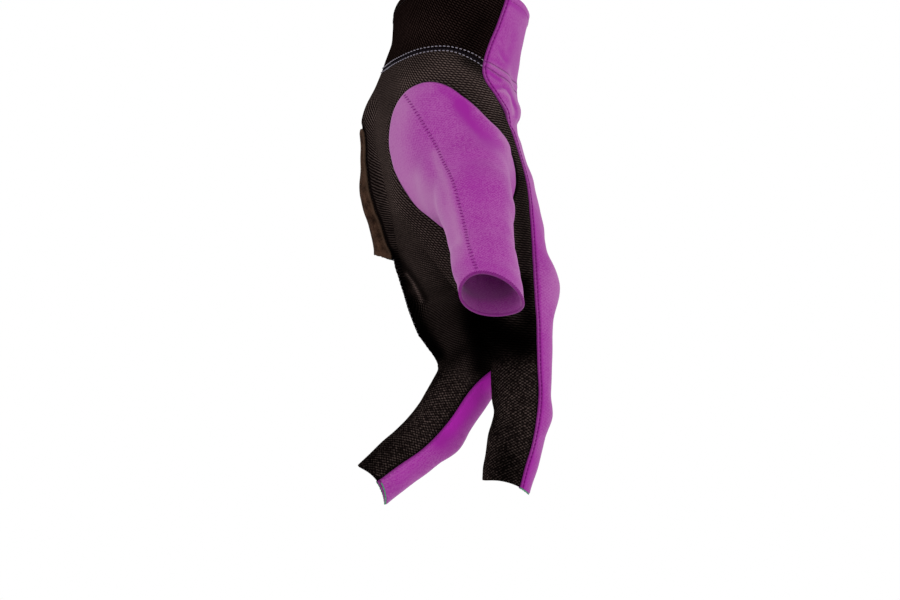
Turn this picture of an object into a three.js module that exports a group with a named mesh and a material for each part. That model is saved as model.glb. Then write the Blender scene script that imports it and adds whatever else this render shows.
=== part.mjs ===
// A three-finger billiard glove for a left hand, empty but in the shape that it has when worn.
// Millimetres. +Z runs up the forearm and the fingers hang down, -X is the palm's side, +X the back of the
// hand, and -Y the thumb's side. The origin is the middle of the wrist opening.
//
// The worn outer form is one smooth surface round a set of bones. Each cloth is the part of that surface
// that its seams enclose, thickened inwards to a wall.
import * as THREE from "three";

const clothWall = 1.2;
const padWall = 1;
const seamGap = 0.3; // between cloths that meet edge to edge, and under the pad
const gridStep = 4.8; // of the grid that samples the form
const snapShare = 0.22; // of a grid step: points this near a seam move onto it
const normalStep = 0.05; // for slopes by differences

const vec = (x, y, z) => new THREE.Vector3(x, y, z);
const along = (a, b, t) => a + (b - a) * t;

// Bones, a row each: from one end to the other, the section's half sizes there, from palm to back (deep) and
// sideways (wide). blend is how far a bone melts into those before it.
const sideways = vec(0, 1, 0);
const acrossThumb = vec(0.94, 0, -0.34).normalize();
const bones = [
  { name: "forearm", from: vec(3.2, 5, 20), to: vec(-3, 0, -24), deep: [25.6, 21.6], wide: [28, 28], blend: 0 },
  { name: "carpus", from: vec(-3, 0, -24), to: vec(0, 3, -42), deep: [20.6, 18], wide: [27, 30], blend: 6 },
  { name: "palm_index", from: vec(1, -16, -36), to: vec(21.4, -25.5, -98), deep: [15, 11], wide: [12, 12], blend: 9 },
  { name: "palm_middle", from: vec(2, -4, -36), to: vec(19.5, -8, -102), deep: [15.4, 11.4], wide: [13, 13], blend: 9 },
  { name: "palm_ring", from: vec(0, 9, -36), to: vec(9, 11, -103), deep: [15, 11.6], wide: [13, 13], blend: 9 },
  { name: "palm_little", from: vec(-6, 20, -38), to: vec(-3, 27, -95), deep: [14, 11.4], wide: [11, 11], blend: 9 },
  { name: "palm_hollow", from: vec(-11, 0, -44), to: vec(-7, 5, -88), deep: [18.6, 13.6], wide: [19, 16], blend: 6 },
  { name: "heel_top", from: vec(-10.6, 12, -25), to: vec(-17.7, 18, -39.6), deep: [17.4, 17], wide: [17, 15.5], blend: 6 },
  { name: "heel_middle", from: vec(-17.7, 18, -39.6), to: vec(-17.9, 20, -62), deep: [17, 15.9], wide: [15.5, 14], blend: 2 },
  { name: "heel_end", from: vec(-17.9, 20, -62), to: vec(-15, 24, -84), deep: [15.9, 13.4], wide: [14, 12], blend: 2 },
  { name: "thenar", from: vec(-9, -18, -46), to: vec(-7.6, -19, -64), deep: [17.2, 16.2], wide: [16, 15], blend: 9 },
  { name: "thenar_end", from: vec(-7.6, -19, -64), to: vec(11, -22, -98), deep: [16.2, 10], wide: [15, 11], blend: 3 },
  { name: "ring_root", from: vec(8, 11.5, -105), to: vec(-34, 12, -114), deep: [10, 9], wide: [12, 11], blend: 8 },
  { name: "little_root", from: vec(-4, 27, -96), to: vec(-44, 26, -99), deep: [9.4, 8.6], wide: [11, 10], blend: 8 },
  { name: "finger_web", from: vec(8, 3, -104), to: vec(-4, 1, -116), deep: [10, 9], wide: [9, 8], blend: 8 },
  { name: "thumb_root", from: vec(-1, -23, -40), to: vec(5.6, -50, -69), deep: [12.5, 12.4], wide: [13.5, 12.4], blend: 13, side: acrossThumb },
  { name: "thumb_middle", from: vec(5.6, -50, -69), to: vec(8.6, -69, -90), deep: [12.2, 10], wide: [12.4, 10.8], blend: 4, side: acrossThumb },
  { name: "thumb_end", from: vec(8.6, -69, -90), to: vec(11, -86, -106), deep: [10, 9], wide: [10.8, 10], blend: 3, side: acrossThumb },
  { name: "index_near", from: vec(21.6, -27.5, -98), to: vec(21.8, -30.5, -140), deep: [11.1, 10], wide: [10.4, 9.6], blend: 6 },
  { name: "index_far", from: vec(21.8, -30.5, -140), to: vec(11.6, -33, -182), deep: [10, 7], wide: [9.6, 8.4], blend: 2 },
  { name: "middle_near", from: vec(19.5, -7, -102), to: vec(-8.2, -7.5, -146.6), deep: [11.8, 9.8], wide: [10.4, 9.4], blend: 6 },
  { name: "fork_web", from: vec(19, -17, -98), to: vec(15.5, -18, -111), deep: [9.5, 8.5], wide: [7, 6], blend: 7 },
  { name: "middle_far", from: vec(-8.2, -7.5, -146.6), to: vec(-41, -8, -174.5), deep: [9.8, 7.6], wide: [9.4, 8.2], blend: 2 },
];

// Soft folds and hollows of the cloth: a line, how deep it is (below zero for a ridge) and its half width.
const folds = [
  { name: "thumb_hollow", from: vec(-1, -42, -30), to: vec(14, -44, -47), depth: 1.3, spread: 4.5 },
  { name: "wrist_pouch", from: vec(17, -18, -35), to: vec(20, 12, -36), depth: -1.2, spread: 4.5 },
  { name: "palm_crease", from: vec(-20, -2, -92), to: vec(-8, -12, -112), depth: 1.2, spread: 4.5 },
];

const lineDistance = (point, from, to) => {
  const run = to.clone().sub(from);
  const share = THREE.MathUtils.clamp(point.clone().sub(from).dot(run) / run.lengthSq(), 0, 1);
  return { share, offset: point.clone().sub(from).addScaledVector(run, -share) };
};

// Distance to a bone's round section, squeezed sideways so that its half sizes hold.
const boneDistance = (bone, point) => {
  const { share, offset } = lineDistance(point, bone.from, bone.to);
  const deep = along(...bone.deep, share);
  const side = bone.side ?? sideways;
  const squeeze = deep / along(...bone.wide, share) - 1;
  return offset.addScaledVector(side, offset.dot(side) * squeeze).length() - deep;
};

// The lesser of two distances, rounded where they are alike.
const melt = (a, b, width) => {
  const near = width > 0 ? Math.max(width - Math.abs(a - b), 0) / width : 0;
  return Math.min(a, b) - (near * near * width) / 4;
};

// Below zero inside the worn form and above it outside.
const form = (point) => {
  let distance = bones.reduce((sum, bone) => melt(sum, boneDistance(bone, point), bone.blend), Infinity);
  for (const fold of folds) {
    const away = lineDistance(point, fold.from, fold.to).offset.length() / fold.spread;
    distance += fold.depth * Math.exp(-away * away);
  }
  return distance;
};

// The slope of a function of place, by differences.
const slope = (value, point) =>
  vec(
    ...["x", "y", "z"].map((axis) => {
      const ahead = point.clone();
      const behind = point.clone();
      ahead[axis] += normalStep;
      behind[axis] -= normalStep;
      return (value(ahead) - value(behind)) / (2 * normalStep);
    }),
  );

// Moves a point onto the form's surface.
const settle = (point) => {
  for (let pass = 0; pass < 4; pass++) {
    const uphill = slope(form, point);
    point.addScaledVector(uphill, -form(point) / uphill.lengthSq());
  }
  return point;
};

// The value of a table at a height, with straight lines between its rows, which run downwards.
const atHeight = (rows, z, column) => {
  const next = rows.findIndex((row) => row.z <= z);
  if (next === 0) return rows[0][column];
  if (next < 0) return rows.at(-1)[column];
  const [a, b] = [rows[next - 1], rows[next]];
  return along(a[column], b[column], (z - a.z) / (b.z - a.z));
};

// The seams that show on the thumb's side are drawn as an eye sees them there, from this far off and level
// with this point: where a line from the eye meets the plane of the wrist's middle.
const eyeAway = 1200;
const eyeLevel = { x: -3.5, z: -101.5 };
const seen = (point) => {
  const scale = eyeAway / (eyeAway + point.y);
  return { x: along(eyeLevel.x, point.x, scale), z: along(eyeLevel.z, point.z, scale) };
};

// Where the purple back meets the black mesh, on the thumb's side as seen and on the little finger's: x by
// height.
const backEdge = [
  { z: 12, near: 18, far: 6 },
  { z: 3.5, near: 15.8, far: 5 },
  { z: -5, near: 12.6, far: 4 },
  { z: -15, near: 8.8, far: 3 },
  { z: -21, near: 7.7, far: 2 },
  { z: -26, near: 9, far: 1 },
  { z: -32, near: 13.3, far: 0 },
  { z: -42, near: 18.2, far: -2 },
  { z: -54, near: 21, far: -3 },
  { z: -68, near: 24, far: -4 },
  { z: -95, near: 25.7, far: -6 },
  { z: -117, near: 27.2, far: -8 },
  { z: -200, near: 27.2, far: -8 },
];
const backEdgeBand = [-18, 24]; // depths between which it goes from the one to the other

// How far a finger's own seam lies to the back of its bone, at each end.
const fingerSeams = [
  { bone: "index_near", offset: [4.2, 4.3] },
  { bone: "index_far", offset: [4.3, 4.8] },
  { bone: "middle_near", offset: [4.6, 1.35] },
  { bone: "middle_far", offset: [1.35, -0.2] },
];
const seamBlend = 3.5; // how far a finger's seam takes to leave the palm's

const boneNamed = (name) => bones.find((bone) => bone.name === name);
const bonesOf = (...names) => bones.filter((bone) => names.some((name) => bone.name.startsWith(name)));
const nearest = (some, point) => Math.min(...some.map((bone) => boneDistance(bone, point)));
const thumbBones = bonesOf("thumb_");
const fingerBones = bonesOf("index_", "middle_");
const freeBones = bonesOf("ring_", "little_", "palm_ring", "palm_little", "finger_web");
const otherBones = bones.filter((bone) => !thumbBones.includes(bone));
const palmBones = bones.filter((bone) => ![...thumbBones, ...fingerBones].includes(bone));

// Above zero on the back of the hand.
const backSide = (point) => {
  const place = seen(point);
  const across = THREE.MathUtils.smoothstep(point.y, ...backEdgeBand);
  const edge = along(atHeight(backEdge, place.z, "near"), atHeight(backEdge, place.z, "far"), across);
  let weight = Math.exp(-Math.max(nearest(palmBones, point), 0) / seamBlend);
  let total = weight * (place.x - edge);
  for (const seam of fingerSeams) {
    const bone = boneNamed(seam.bone);
    const { share, offset } = lineDistance(point, bone.from, bone.to);
    const back = sideways.clone().cross(bone.to.clone().sub(bone.from)).normalize().negate();
    const start = seam.bone.endsWith("near") ? THREE.MathUtils.smoothstep(share, 0.1, 0.5) : 1;
    const pull = start * Math.exp(-Math.max(boneDistance(bone, point), 0) / seamBlend);
    total += pull * (offset.dot(back) - along(...seam.offset, share));
    weight += pull;
  }
  return total / weight;
};

// The thumb cover's egg-shaped edge on the palm, as the radius round its middle by direction, in degrees from
// the back of the hand towards the wrist.
const eggMiddle = { x: -3.5, z: -52.5 };
const eggEdge = [
  { turn: 0, radius: 22.8 },
  { turn: 11, radius: 22 },
  { turn: 24, radius: 21 },
  { turn: 45, radius: 20 },
  { turn: 72, radius: 22 },
  { turn: 86, radius: 25.2 },
  { turn: 104, radius: 28.2 },
  { turn: 120, radius: 27.7 },
  { turn: 141, radius: 24.9 },
  { turn: 162, radius: 22.4 },
  { turn: 185, radius: 20.6 },
  { turn: 207, radius: 19.6 },
  { turn: 232, radius: 20 },
  { turn: 251, radius: 21 },
  { turn: 268, radius: 25 },
  { turn: 300, radius: 28 },
  { turn: 335, radius: 26 },
];
const radiusAt = (turn) => {
  const rows = eggEdge;
  const next = rows.findIndex((row) => row.turn > turn);
  const a = rows[(next < 0 ? rows.length : next) - 1];
  const b = next < 0 ? { ...rows[0], turn: 360 } : rows[next];
  return along(a.radius, b.radius, (turn - a.turn) / (b.turn - a.turn));
};
const thumbSideDepth = -14; // the egg lies on the thumb's side of this depth
const thumbRoot = { at: vec(4, -45, -68), facing: vec(0.08, -0.86, -0.5).normalize() };
const cornerRound = 4;

// Above zero on the thumb cover: inside the egg on the thumb's side, or past the root of the thumb.
const thumbSide = (point) => {
  const place = seen(point);
  const dx = place.x - eggMiddle.x;
  const dz = place.z - eggMiddle.z;
  const turn = THREE.MathUtils.euclideanModulo(THREE.MathUtils.radToDeg(Math.atan2(dz, dx)), 360);
  const egg = radiusAt(turn) - Math.hypot(dx, dz);
  const root = point.clone().sub(thumbRoot.at).dot(thumbRoot.facing);
  const tube = Math.min(root, nearest(otherBones, point) - nearest(thumbBones, point));
  return -melt(-Math.min(egg, thumbSideDepth - point.y), -tube, cornerRound);
};

// The planes that end the cloths. Each faces out of its opening.
const plane = (at, facing) => (point) => -point.clone().sub(at).dot(facing) / facing.length();
const openings = {
  wrist: plane(vec(0, 0, 0), vec(0.08, 0.3, 1)),
  thumb: plane(vec(10.2, -79.6, -99.9), vec(-0.3, -0.77, -0.6)),
  index: plane(vec(16.2, -30, -164.6), vec(-0.28, -0.2, -1)),
  middle: plane(vec(-30.6, -8, -166), vec(-0.82, -0.6, -0.57)),
  fingers: plane(vec(-23.8, 28, -87.2), vec(-0.916, 0, -0.402)),
  fingersTop: plane(vec(-24, 28, -87), vec(-0.3, 0, -1)),
};

// The seam between the cuff and the hand arches up on the thumb's side.
const cuffArch = { x: -6.7, z: -13.4, toBack: 0.024, toPalm: 0.0185 };
const cuffSide = (point) => {
  const place = seen(point);
  const dx = place.x - cuffArch.x;
  return place.z - cuffArch.z + dx * dx * (dx > 0 ? cuffArch.toBack : cuffArch.toPalm);
};

// The opening for the free fingers leaves the middle finger's cloth as it is.
const freeFingerSide = (point) =>
  Math.max(
    openings.fingers(point),
    openings.fingersTop(point),
    nearest(freeBones, point) - nearest(fingerBones, point),
  );

// The thumb's plane would also cut the index finger, so each finger's plane counts only near its own end.
const nearEnd = (bone, opening) => (point) =>
  boneDistance(boneNamed(bone), point) < 6 ? opening(point) : Infinity;
const ends = [
  openings.wrist,
  nearEnd("thumb_end", openings.thumb),
  nearEnd("index_far", openings.index),
  nearEnd("middle_far", openings.middle),
  freeFingerSide,
];

// The pad on the heel of the palm: its edge towards the thumb by height, its two ends and its far edge.
const padEdge = [
  { z: -38, y: 15 },
  { z: -60, y: 14.5 },
  { z: -75, y: 15 },
  { z: -90, y: 15.5 },
];
const padTop = -41;
const padBottom = { z: -89, slope: 0.5 }; // the slope is that of the far corner, which rises
const padFar = -11;
const padSide = (point) => {
  const ends = Math.min(padTop - point.z, point.z - padBottom.z - padBottom.slope * Math.max(point.y - 24, 0));
  const sides = Math.min(point.y - atHeight(padEdge, point.z, "y"), padFar - point.x);
  return melt(ends, sides, cornerRound);
};

// The form's surface as triangles: a point in each grid cell that it crosses, settled onto it, and two
// triangles over each grid edge that it crosses.
const gridLow = vec(-48, -92, -186);
const gridHigh = vec(46, 50, 18);
const skin = () => {
  const count = gridHigh.clone().sub(gridLow).divideScalar(gridStep).ceil().addScalar(1);
  const index = (i, j, k) => (k * count.y + j) * count.x + i;
  const place = (i, j, k) => vec(i, j, k).multiplyScalar(gridStep).add(gridLow);
  const values = new Float64Array(count.x * count.y * count.z);
  const cells = [];
  for (let k = 0; k < count.z; k++)
    for (let j = 0; j < count.y; j++)
      for (let i = 0; i < count.x; i++) {
        values[index(i, j, k)] = form(place(i, j, k));
        cells.push([i, j, k]);
      }
  const points = [];
  const pointOf = new Map();
  const corner = [0, 1, 2, 3, 4, 5, 6, 7].map((bits) => [bits & 1, (bits >> 1) & 1, bits >> 2]);
  for (const [i, j, k] of cells) {
    if (i + 1 >= count.x || j + 1 >= count.y || k + 1 >= count.z) continue;
    const at = corner.map(([a, b, c]) => values[index(i + a, j + b, k + c)]);
    if (at.every((value) => value < 0) || at.every((value) => value >= 0)) continue;
    const middle = vec(0, 0, 0);
    let crossings = 0;
    for (let a = 0; a < 8; a++)
      for (const bit of [1, 2, 4]) {
        const b = a | bit;
        if (b === a || at[a] < 0 === at[b] < 0) continue;
        const share = at[a] / (at[a] - at[b]);
        middle.add(vec(...corner[a].map((from, axis) => along(from, corner[b][axis], share))));
        crossings++;
      }
    middle.divideScalar(crossings);
    pointOf.set(index(i, j, k), points.length);
    points.push(settle(place(i + middle.x, j + middle.y, k + middle.z)));
  }
  const faces = [];
  for (const [i, j, k] of cells)
    for (let axis = 0; axis < 3; axis++) {
      const step = [0, 1, 2].map((other) => Number(other === axis));
      const [u, v] = [(axis + 1) % 3, (axis + 2) % 3].map((other) => [0, 1, 2].map((n) => Number(n === other)));
      if (i + step[0] >= count.x || j + step[1] >= count.y || k + step[2] >= count.z) continue;
      const here = values[index(i, j, k)] < 0;
      if (here === values[index(i + step[0], j + step[1], k + step[2])] < 0) continue;
      const ring = [[0, 0], [1, 0], [1, 1], [0, 1]].map(([a, b]) =>
        pointOf.get(index(i - a * u[0] - b * v[0], j - a * u[1] - b * v[1], k - a * u[2] - b * v[2])),
      );
      if (ring.some((point) => point === undefined)) continue;
      if (!here) ring.reverse();
      const [a, b, c, d] = ring;
      const shortDiagonal = points[a].distanceTo(points[c]) < points[b].distanceTo(points[d]);
      faces.push(...(shortDiagonal ? [[a, b, c], [a, c, d]] : [[a, b, d], [b, c, d]]));
    }
  return { points, faces };
};

// The part of a surface where a function of place is above zero by a distance, cut through its triangles.
// Points that are nearly there move there first, so that no sliver is left.
const keepAbove = (surface, field, distance = 0) => {
  const measure = (point) => {
    const value = field(point);
    if (Math.abs(value) > 3 * gridStep) return { past: value };
    const up = slope(field, point);
    const normal = slope(form, point).normalize();
    up.addScaledVector(normal, -up.dot(normal));
    return { past: value / Math.max(up.length(), 0.2) - distance, up: up.normalize() };
  };
  const points = surface.points.map((point) => point.clone());
  const values = points.map((point) => {
    const { past, up } = measure(point);
    if (Math.abs(past) > snapShare * gridStep) return past;
    settle(point.addScaledVector(up, -past));
    return 0;
  });
  const cuts = new Map();
  const cut = (a, b) => {
    const key = a < b ? `${a} ${b}` : `${b} ${a}`;
    if (!cuts.has(key)) {
      const ends = values[a] > 0 ? [a, b] : [b, a];
      let [high, low] = ends.map((corner) => ({ point: points[corner], past: values[corner] }));
      for (let pass = 0; pass < 6; pass++) {
        const share = THREE.MathUtils.clamp(high.past / (high.past - low.past), 0.1, 0.9);
        const point = settle(high.point.clone().lerp(low.point, share));
        const { past } = measure(point);
        if (past > 0) high = { point, past };
        else low = { point, past };
      }
      cuts.set(key, points.push(Math.abs(high.past) < Math.abs(low.past) ? high.point : low.point) - 1);
    }
    return cuts.get(key);
  };
  const faces = [];
  for (const face of surface.faces) {
    if (face.every((corner) => values[corner] <= 0)) continue;
    const outline = [];
    face.forEach((corner, n) => {
      const next = face[(n + 1) % 3];
      if (values[corner] >= 0) outline.push(corner);
      if (values[corner] * values[next] < 0) outline.push(cut(corner, next));
    });
    for (let n = 1; n + 1 < outline.length; n++) faces.push([outline[0], outline[n], outline[n + 1]]);
  }
  return { points, faces };
};

// The sides of triangles that only one triangle has.
const rimOf = (faces) => {
  const sides = faces.flatMap(([a, b, c]) => [[a, b], [b, c], [c, a]]);
  const known = new Set(sides.map(([a, b]) => `${a} ${b}`));
  return sides.filter(([a, b]) => !known.has(`${b} ${a}`));
};

// Joins the ends of very short sides, which drops the slivers between them. The rim stays where it is.
const shortSide = 0.6;
const weld = ({ points, faces }) => {
  const rim = rimOf(faces);
  const onRim = new Set(rim.flat());
  const alongRim = new Set(rim.map(([a, b]) => `${a} ${b}`));
  const joined = points.map((_, n) => n);
  const last = (n) => (joined[n] === n ? n : last(joined[n]));
  for (const face of faces)
    face.forEach((corner, n) => {
      const next = face[(n + 1) % 3];
      const [a, b] = [last(corner), last(next)];
      if (a === b || points[a].distanceTo(points[b]) > shortSide) return;
      if (onRim.has(a) && onRim.has(b) && !alongRim.has(`${corner} ${next}`)) return;
      if (onRim.has(a)) joined[b] = a;
      else joined[a] = b;
    });
  const kept = faces.map((face) => face.map(last)).filter(([a, b, c]) => a !== b && b !== c && c !== a);
  return { points, faces: kept };
};

// A closed wall between two depths under a surface, with its edges closed by a rim.
const wall = (surface, outer, inner) => {
  const used = [...new Set(surface.faces.flat())];
  const order = new Map(used.map((corner, n) => [corner, n]));
  const normals = used.map((corner) => slope(form, surface.points[corner]).normalize());
  const layer = (depth) => used.map((corner, n) => surface.points[corner].clone().addScaledVector(normals[n], -depth));
  const corners = [...layer(outer), ...layer(inner)];
  const faces = surface.faces.map((face) => face.map((corner) => order.get(corner)));
  const under = (corner) => corner + used.length;
  const rim = rimOf(faces).flatMap(([a, b]) => [[b, a, under(a)], [b, under(a), under(b)]]);
  const inside = faces.map(([a, b, c]) => [under(a), under(c), under(b)]);
  return new THREE.BufferGeometry()
    .setAttribute("position", new THREE.Float32BufferAttribute(corners.flatMap((corner) => corner.toArray()), 3))
    .setIndex([...faces, ...inside, ...rim].flat());
};

// Cuts a cloth out of the skin by a list of [function, side] pairs.
const whole = skin();
const cloth = (...seams) => {
  let surface = whole;
  for (const end of ends) surface = keepAbove(surface, end);
  for (const [field, sign] of seams) surface = keepAbove(surface, (point) => sign * field(point), seamGap / 2);
  return weld(surface);
};

const black = { color: 0x1d1716, roughness: 0.85, metalness: 0 };
const purple = { color: 0x9a2f95, roughness: 0.6, metalness: 0 };
const suede = { color: 0x3a2a22, roughness: 0.95, metalness: 0 };

const glove = new THREE.Group();
const add = (name, geometry, finish) => {
  geometry.computeVertexNormals();
  const mesh = new THREE.Mesh(geometry, new THREE.MeshStandardMaterial(finish));
  mesh.name = name;
  glove.add(mesh);
};

add("back_panel", wall(cloth([backSide, 1], [thumbSide, -1]), 0, clothWall), purple);
add("palm_mesh", wall(cloth([cuffSide, -1], [backSide, -1], [thumbSide, -1]), 0, clothWall), black);
add("cuff_mesh", wall(cloth([cuffSide, 1], [backSide, -1]), 0, clothWall), black);
add("thumb_cover", wall(cloth([thumbSide, 1]), 0, clothWall), purple);
add("palm_pad", wall(cloth([padSide, 1]), -seamGap - padWall, -seamGap), suede);

export default glove;
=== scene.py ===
import math

import bpy
import numpy as np
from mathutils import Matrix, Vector


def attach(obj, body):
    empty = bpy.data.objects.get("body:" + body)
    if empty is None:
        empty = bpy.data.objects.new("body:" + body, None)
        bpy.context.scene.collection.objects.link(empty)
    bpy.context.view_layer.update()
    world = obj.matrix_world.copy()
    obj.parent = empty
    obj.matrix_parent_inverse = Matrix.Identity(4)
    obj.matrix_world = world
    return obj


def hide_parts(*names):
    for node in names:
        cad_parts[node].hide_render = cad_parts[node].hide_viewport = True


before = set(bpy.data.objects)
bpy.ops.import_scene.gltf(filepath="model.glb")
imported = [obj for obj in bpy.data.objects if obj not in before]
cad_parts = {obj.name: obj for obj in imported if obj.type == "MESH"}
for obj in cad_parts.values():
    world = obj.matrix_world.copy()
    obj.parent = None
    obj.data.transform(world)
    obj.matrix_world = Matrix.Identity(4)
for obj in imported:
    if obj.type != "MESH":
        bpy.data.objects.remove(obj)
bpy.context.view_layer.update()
millimetre = 0.001
bpy.ops.object.select_all(action="DESELECT")
print("frame loaded:", sorted(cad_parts))


def vec(*numbers):
    return np.array(numbers, float)


def unit(vectors):
    return vectors / np.maximum(np.linalg.norm(vectors, axis=-1, keepdims=True), 1e-12)


def rowDot(a, b):
    return np.sum(a * b, axis=1, keepdims=True)


def smooth(values, low, high):
    share = np.clip((values - low) / (high - low), 0, 1)
    return share * share * (3 - 2 * share)


# The worn form: one smooth surface round a set of bones. A bone has two ends and the half sizes of its
# section there, from palm to back (deep) and sideways (wide), and blend says how far it melts into those
# before it.
acrossHand = vec(0, 1, 0)
acrossThumb = unit(vec(0.94, 0, -0.34))


def bone(ends, deep, wide, blend, side=acrossHand):
    return {"ends": ends, "deep": deep, "wide": wide, "blend": blend, "side": side}


bones = {
    "cuff_core": bone([(3.2, 5, 20), (-3, 0, -24)], (25.6, 21.6), (28, 28), 0),
    "carpus": bone([(-3, 0, -24), (0, 3, -42)], (20.6, 18), (27, 30), 6),
    "palm_index": bone([(1, -16, -36), (21.4, -25.5, -98)], (15, 11), (12, 12), 9),
    "palm_middle": bone([(2, -4, -36), (19.5, -8, -102)], (15.4, 11.4), (13, 13), 9),
    "palm_ring": bone([(0, 9, -36), (9, 11, -103)], (15, 11.6), (13, 13), 9),
    "palm_little": bone([(-6, 20, -38), (-3, 27, -95)], (14, 11.4), (11, 11), 9),
    "palm_hollow": bone([(-11, 0, -44), (-7, 5, -88)], (18.6, 13.6), (19, 16), 6),
    "heel_top": bone([(-10.6, 12, -25), (-17.7, 18, -39.6)], (17.4, 17), (17, 15.5), 6),
    "heel_middle": bone([(-17.7, 18, -39.6), (-17.9, 20, -62)], (17, 15.9), (15.5, 14), 2),
    "heel_end": bone([(-17.9, 20, -62), (-15, 24, -84)], (15.9, 13.4), (14, 12), 2),
    "thenar": bone([(-9, -18, -46), (-7.6, -19, -64)], (17.2, 16.2), (16, 15), 9),
    "thenar_end": bone([(-7.6, -19, -64), (11, -22, -98)], (16.2, 10), (15, 11), 3),
    "ring_root": bone([(8, 11.5, -105), (-34, 12, -114)], (10, 9), (12, 11), 8),
    "little_root": bone([(-4, 27, -96), (-44, 26, -99)], (9.4, 8.6), (11, 10), 8),
    "finger_web": bone([(8, 3, -104), (-4, 1, -116)], (10, 9), (9, 8), 8),
    "thumb_root": bone([(-1, -23, -40), (5.6, -50, -69)], (12.5, 12.4), (13.5, 12.4), 13, acrossThumb),
    "thumb_middle": bone([(5.6, -50, -69), (8.6, -69, -90)], (12.2, 10), (12.4, 10.8), 4, acrossThumb),
    "thumb_end": bone([(8.6, -69, -90), (11, -86, -106)], (10, 9), (10.8, 10), 3, acrossThumb),
    "index_near": bone([(21.6, -27.5, -98), (21.8, -30.5, -140)], (11.1, 10), (10.4, 9.6), 6),
    "index_far": bone([(21.8, -30.5, -140), (11.6, -33, -182)], (10, 7), (9.6, 8.4), 2),
    "middle_near": bone([(19.5, -7, -102), (-8.2, -7.5, -146.6)], (11.8, 9.8), (10.4, 9.4), 6),
    "fork_web": bone([(19, -17, -98), (15.5, -18, -111)], (9.5, 8.5), (7, 6), 7),
    "middle_far": bone([(-8.2, -7.5, -146.6), (-41, -8, -174.5)], (9.8, 7.6), (9.4, 8.2), 2),
}
folds = [  # depth is below zero for a swell
    dict(name="thumb_hollow", ends=[(-1, -42, -30), (14, -44, -47)], depth=1.3, spread=4.5),
    dict(name="wrist_pouch", ends=[(17, -18, -35), (20, 12, -36)], depth=-1.2, spread=4.5),
    dict(name="palm_crease", ends=[(-20, -2, -92), (-8, -12, -112)], depth=1.2, spread=4.5),
    dict(name="thumb_fill", ends=[(-10.8, -39.5, -60), (-8, -38.5, -70)], depth=-2.8, spread=5.5),
    dict(name="thumb_side", ends=[(19, -52, -67), (20, -69, -88)], depth=1.3, spread=7),
    dict(name="cuff_side", ends=[(-29, 4, -16), (-34, 10, -35)], depth=0.6, spread=8),
    dict(name="wrist_back", ends=[(18.5, -10, -25), (19, -4, -33)], depth=0.8, spread=6),
    dict(name="wrist_notch", ends=[(18, -16, -43.8), (19, 8, -43.8)], depth=1.2, spread=3.5),
    dict(name="back_crown", ends=[(26, -13, -61), (29.5, -15, -75)], depth=-1.9, spread=9),
    dict(name="heel_top_side", ends=[(-34.5, 14, -53), (-34, 15, -60)], depth=-0.9, spread=6),
    dict(name="heel_side", ends=[(-33, 16, -72), (-29.5, 18, -81)], depth=-1.4, spread=7),
    dict(name="index_back", ends=[(33, -29.5, -110), (32.6, -31, -145)], depth=1.0, spread=8),
    dict(name="index_root_front", ends=[(10.5, -30, -127), (10.5, -30, -134)], depth=-1.0, spread=5),
    dict(name="index_bend", ends=[(11.5, -36, -139.5), (11.5, -26, -139.5)], depth=0.6, spread=3),
    dict(name="index_end_front", ends=[(9.5, -31.5, -148), (7.5, -32, -157)], depth=-0.8, spread=5),
]
thumbBones = [name for name in bones if name.startswith("thumb_")]
fingerBones = [name for name in bones if name.startswith(("index_", "middle_"))]
freeBones = ["ring_root", "little_root", "palm_ring", "palm_little", "finger_web"]
otherBones = [name for name in bones if name not in thumbBones]
palmBones = [name for name in otherBones if name not in fingerBones]


def lineDistance(points, ends):
    start, end = vec(*ends[0]), vec(*ends[1])
    run = end - start
    share = np.clip((points - start) @ run / (run @ run), 0, 1)
    return share, points - start - share[:, None] * run


def boneDistance(name, points):
    here = bones[name]
    share, offset = lineDistance(points, here["ends"])
    deep = here["deep"][0] + (here["deep"][1] - here["deep"][0]) * share
    wide = here["wide"][0] + (here["wide"][1] - here["wide"][0]) * share
    side = here["side"]
    offset = offset + side * (offset @ side * (deep / wide - 1))[:, None]
    return np.linalg.norm(offset, axis=1) - deep


def melt(a, b, width):
    near = np.maximum(width - np.abs(a - b), 0) / width if width else 0
    return np.minimum(a, b) - near * near * width / 4


# Below zero inside the worn form and above it outside.
def form(points):
    distance = np.full(len(points), 1e6)
    for name in bones:
        distance = melt(distance, boneDistance(name, points), bones[name]["blend"])
    for fold in folds:
        away = np.linalg.norm(lineDistance(points, fold["ends"])[1], axis=1) / fold["spread"]
        distance = distance + fold["depth"] * np.exp(-away * away)
    return distance


def nearest(names, points):
    return np.min([boneDistance(name, points) for name in names], axis=0)


slopeStep = 0.05


def slope(value, points):
    rise = [value(points + step) - value(points - step) for step in np.eye(3) * slopeStep]
    return np.stack(rise, axis=1) / (2 * slopeStep)


def settle(points, passes=2):
    for _ in range(passes):
        uphill = slope(form, points)
        points = points - uphill * (form(points) / np.sum(uphill * uphill, axis=1))[:, None]
    return points


# The seams that show on the thumb's side are drawn as an eye sees them there, in the plane of the wrist's
# middle.
eye = {"away": 1200, "x": -3.5, "z": -101.5}


def seen(points):
    scale = eye["away"] / (eye["away"] + points[:, 1])
    return eye["x"] + (points[:, 0] - eye["x"]) * scale, eye["z"] + (points[:, 2] - eye["z"]) * scale


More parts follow.
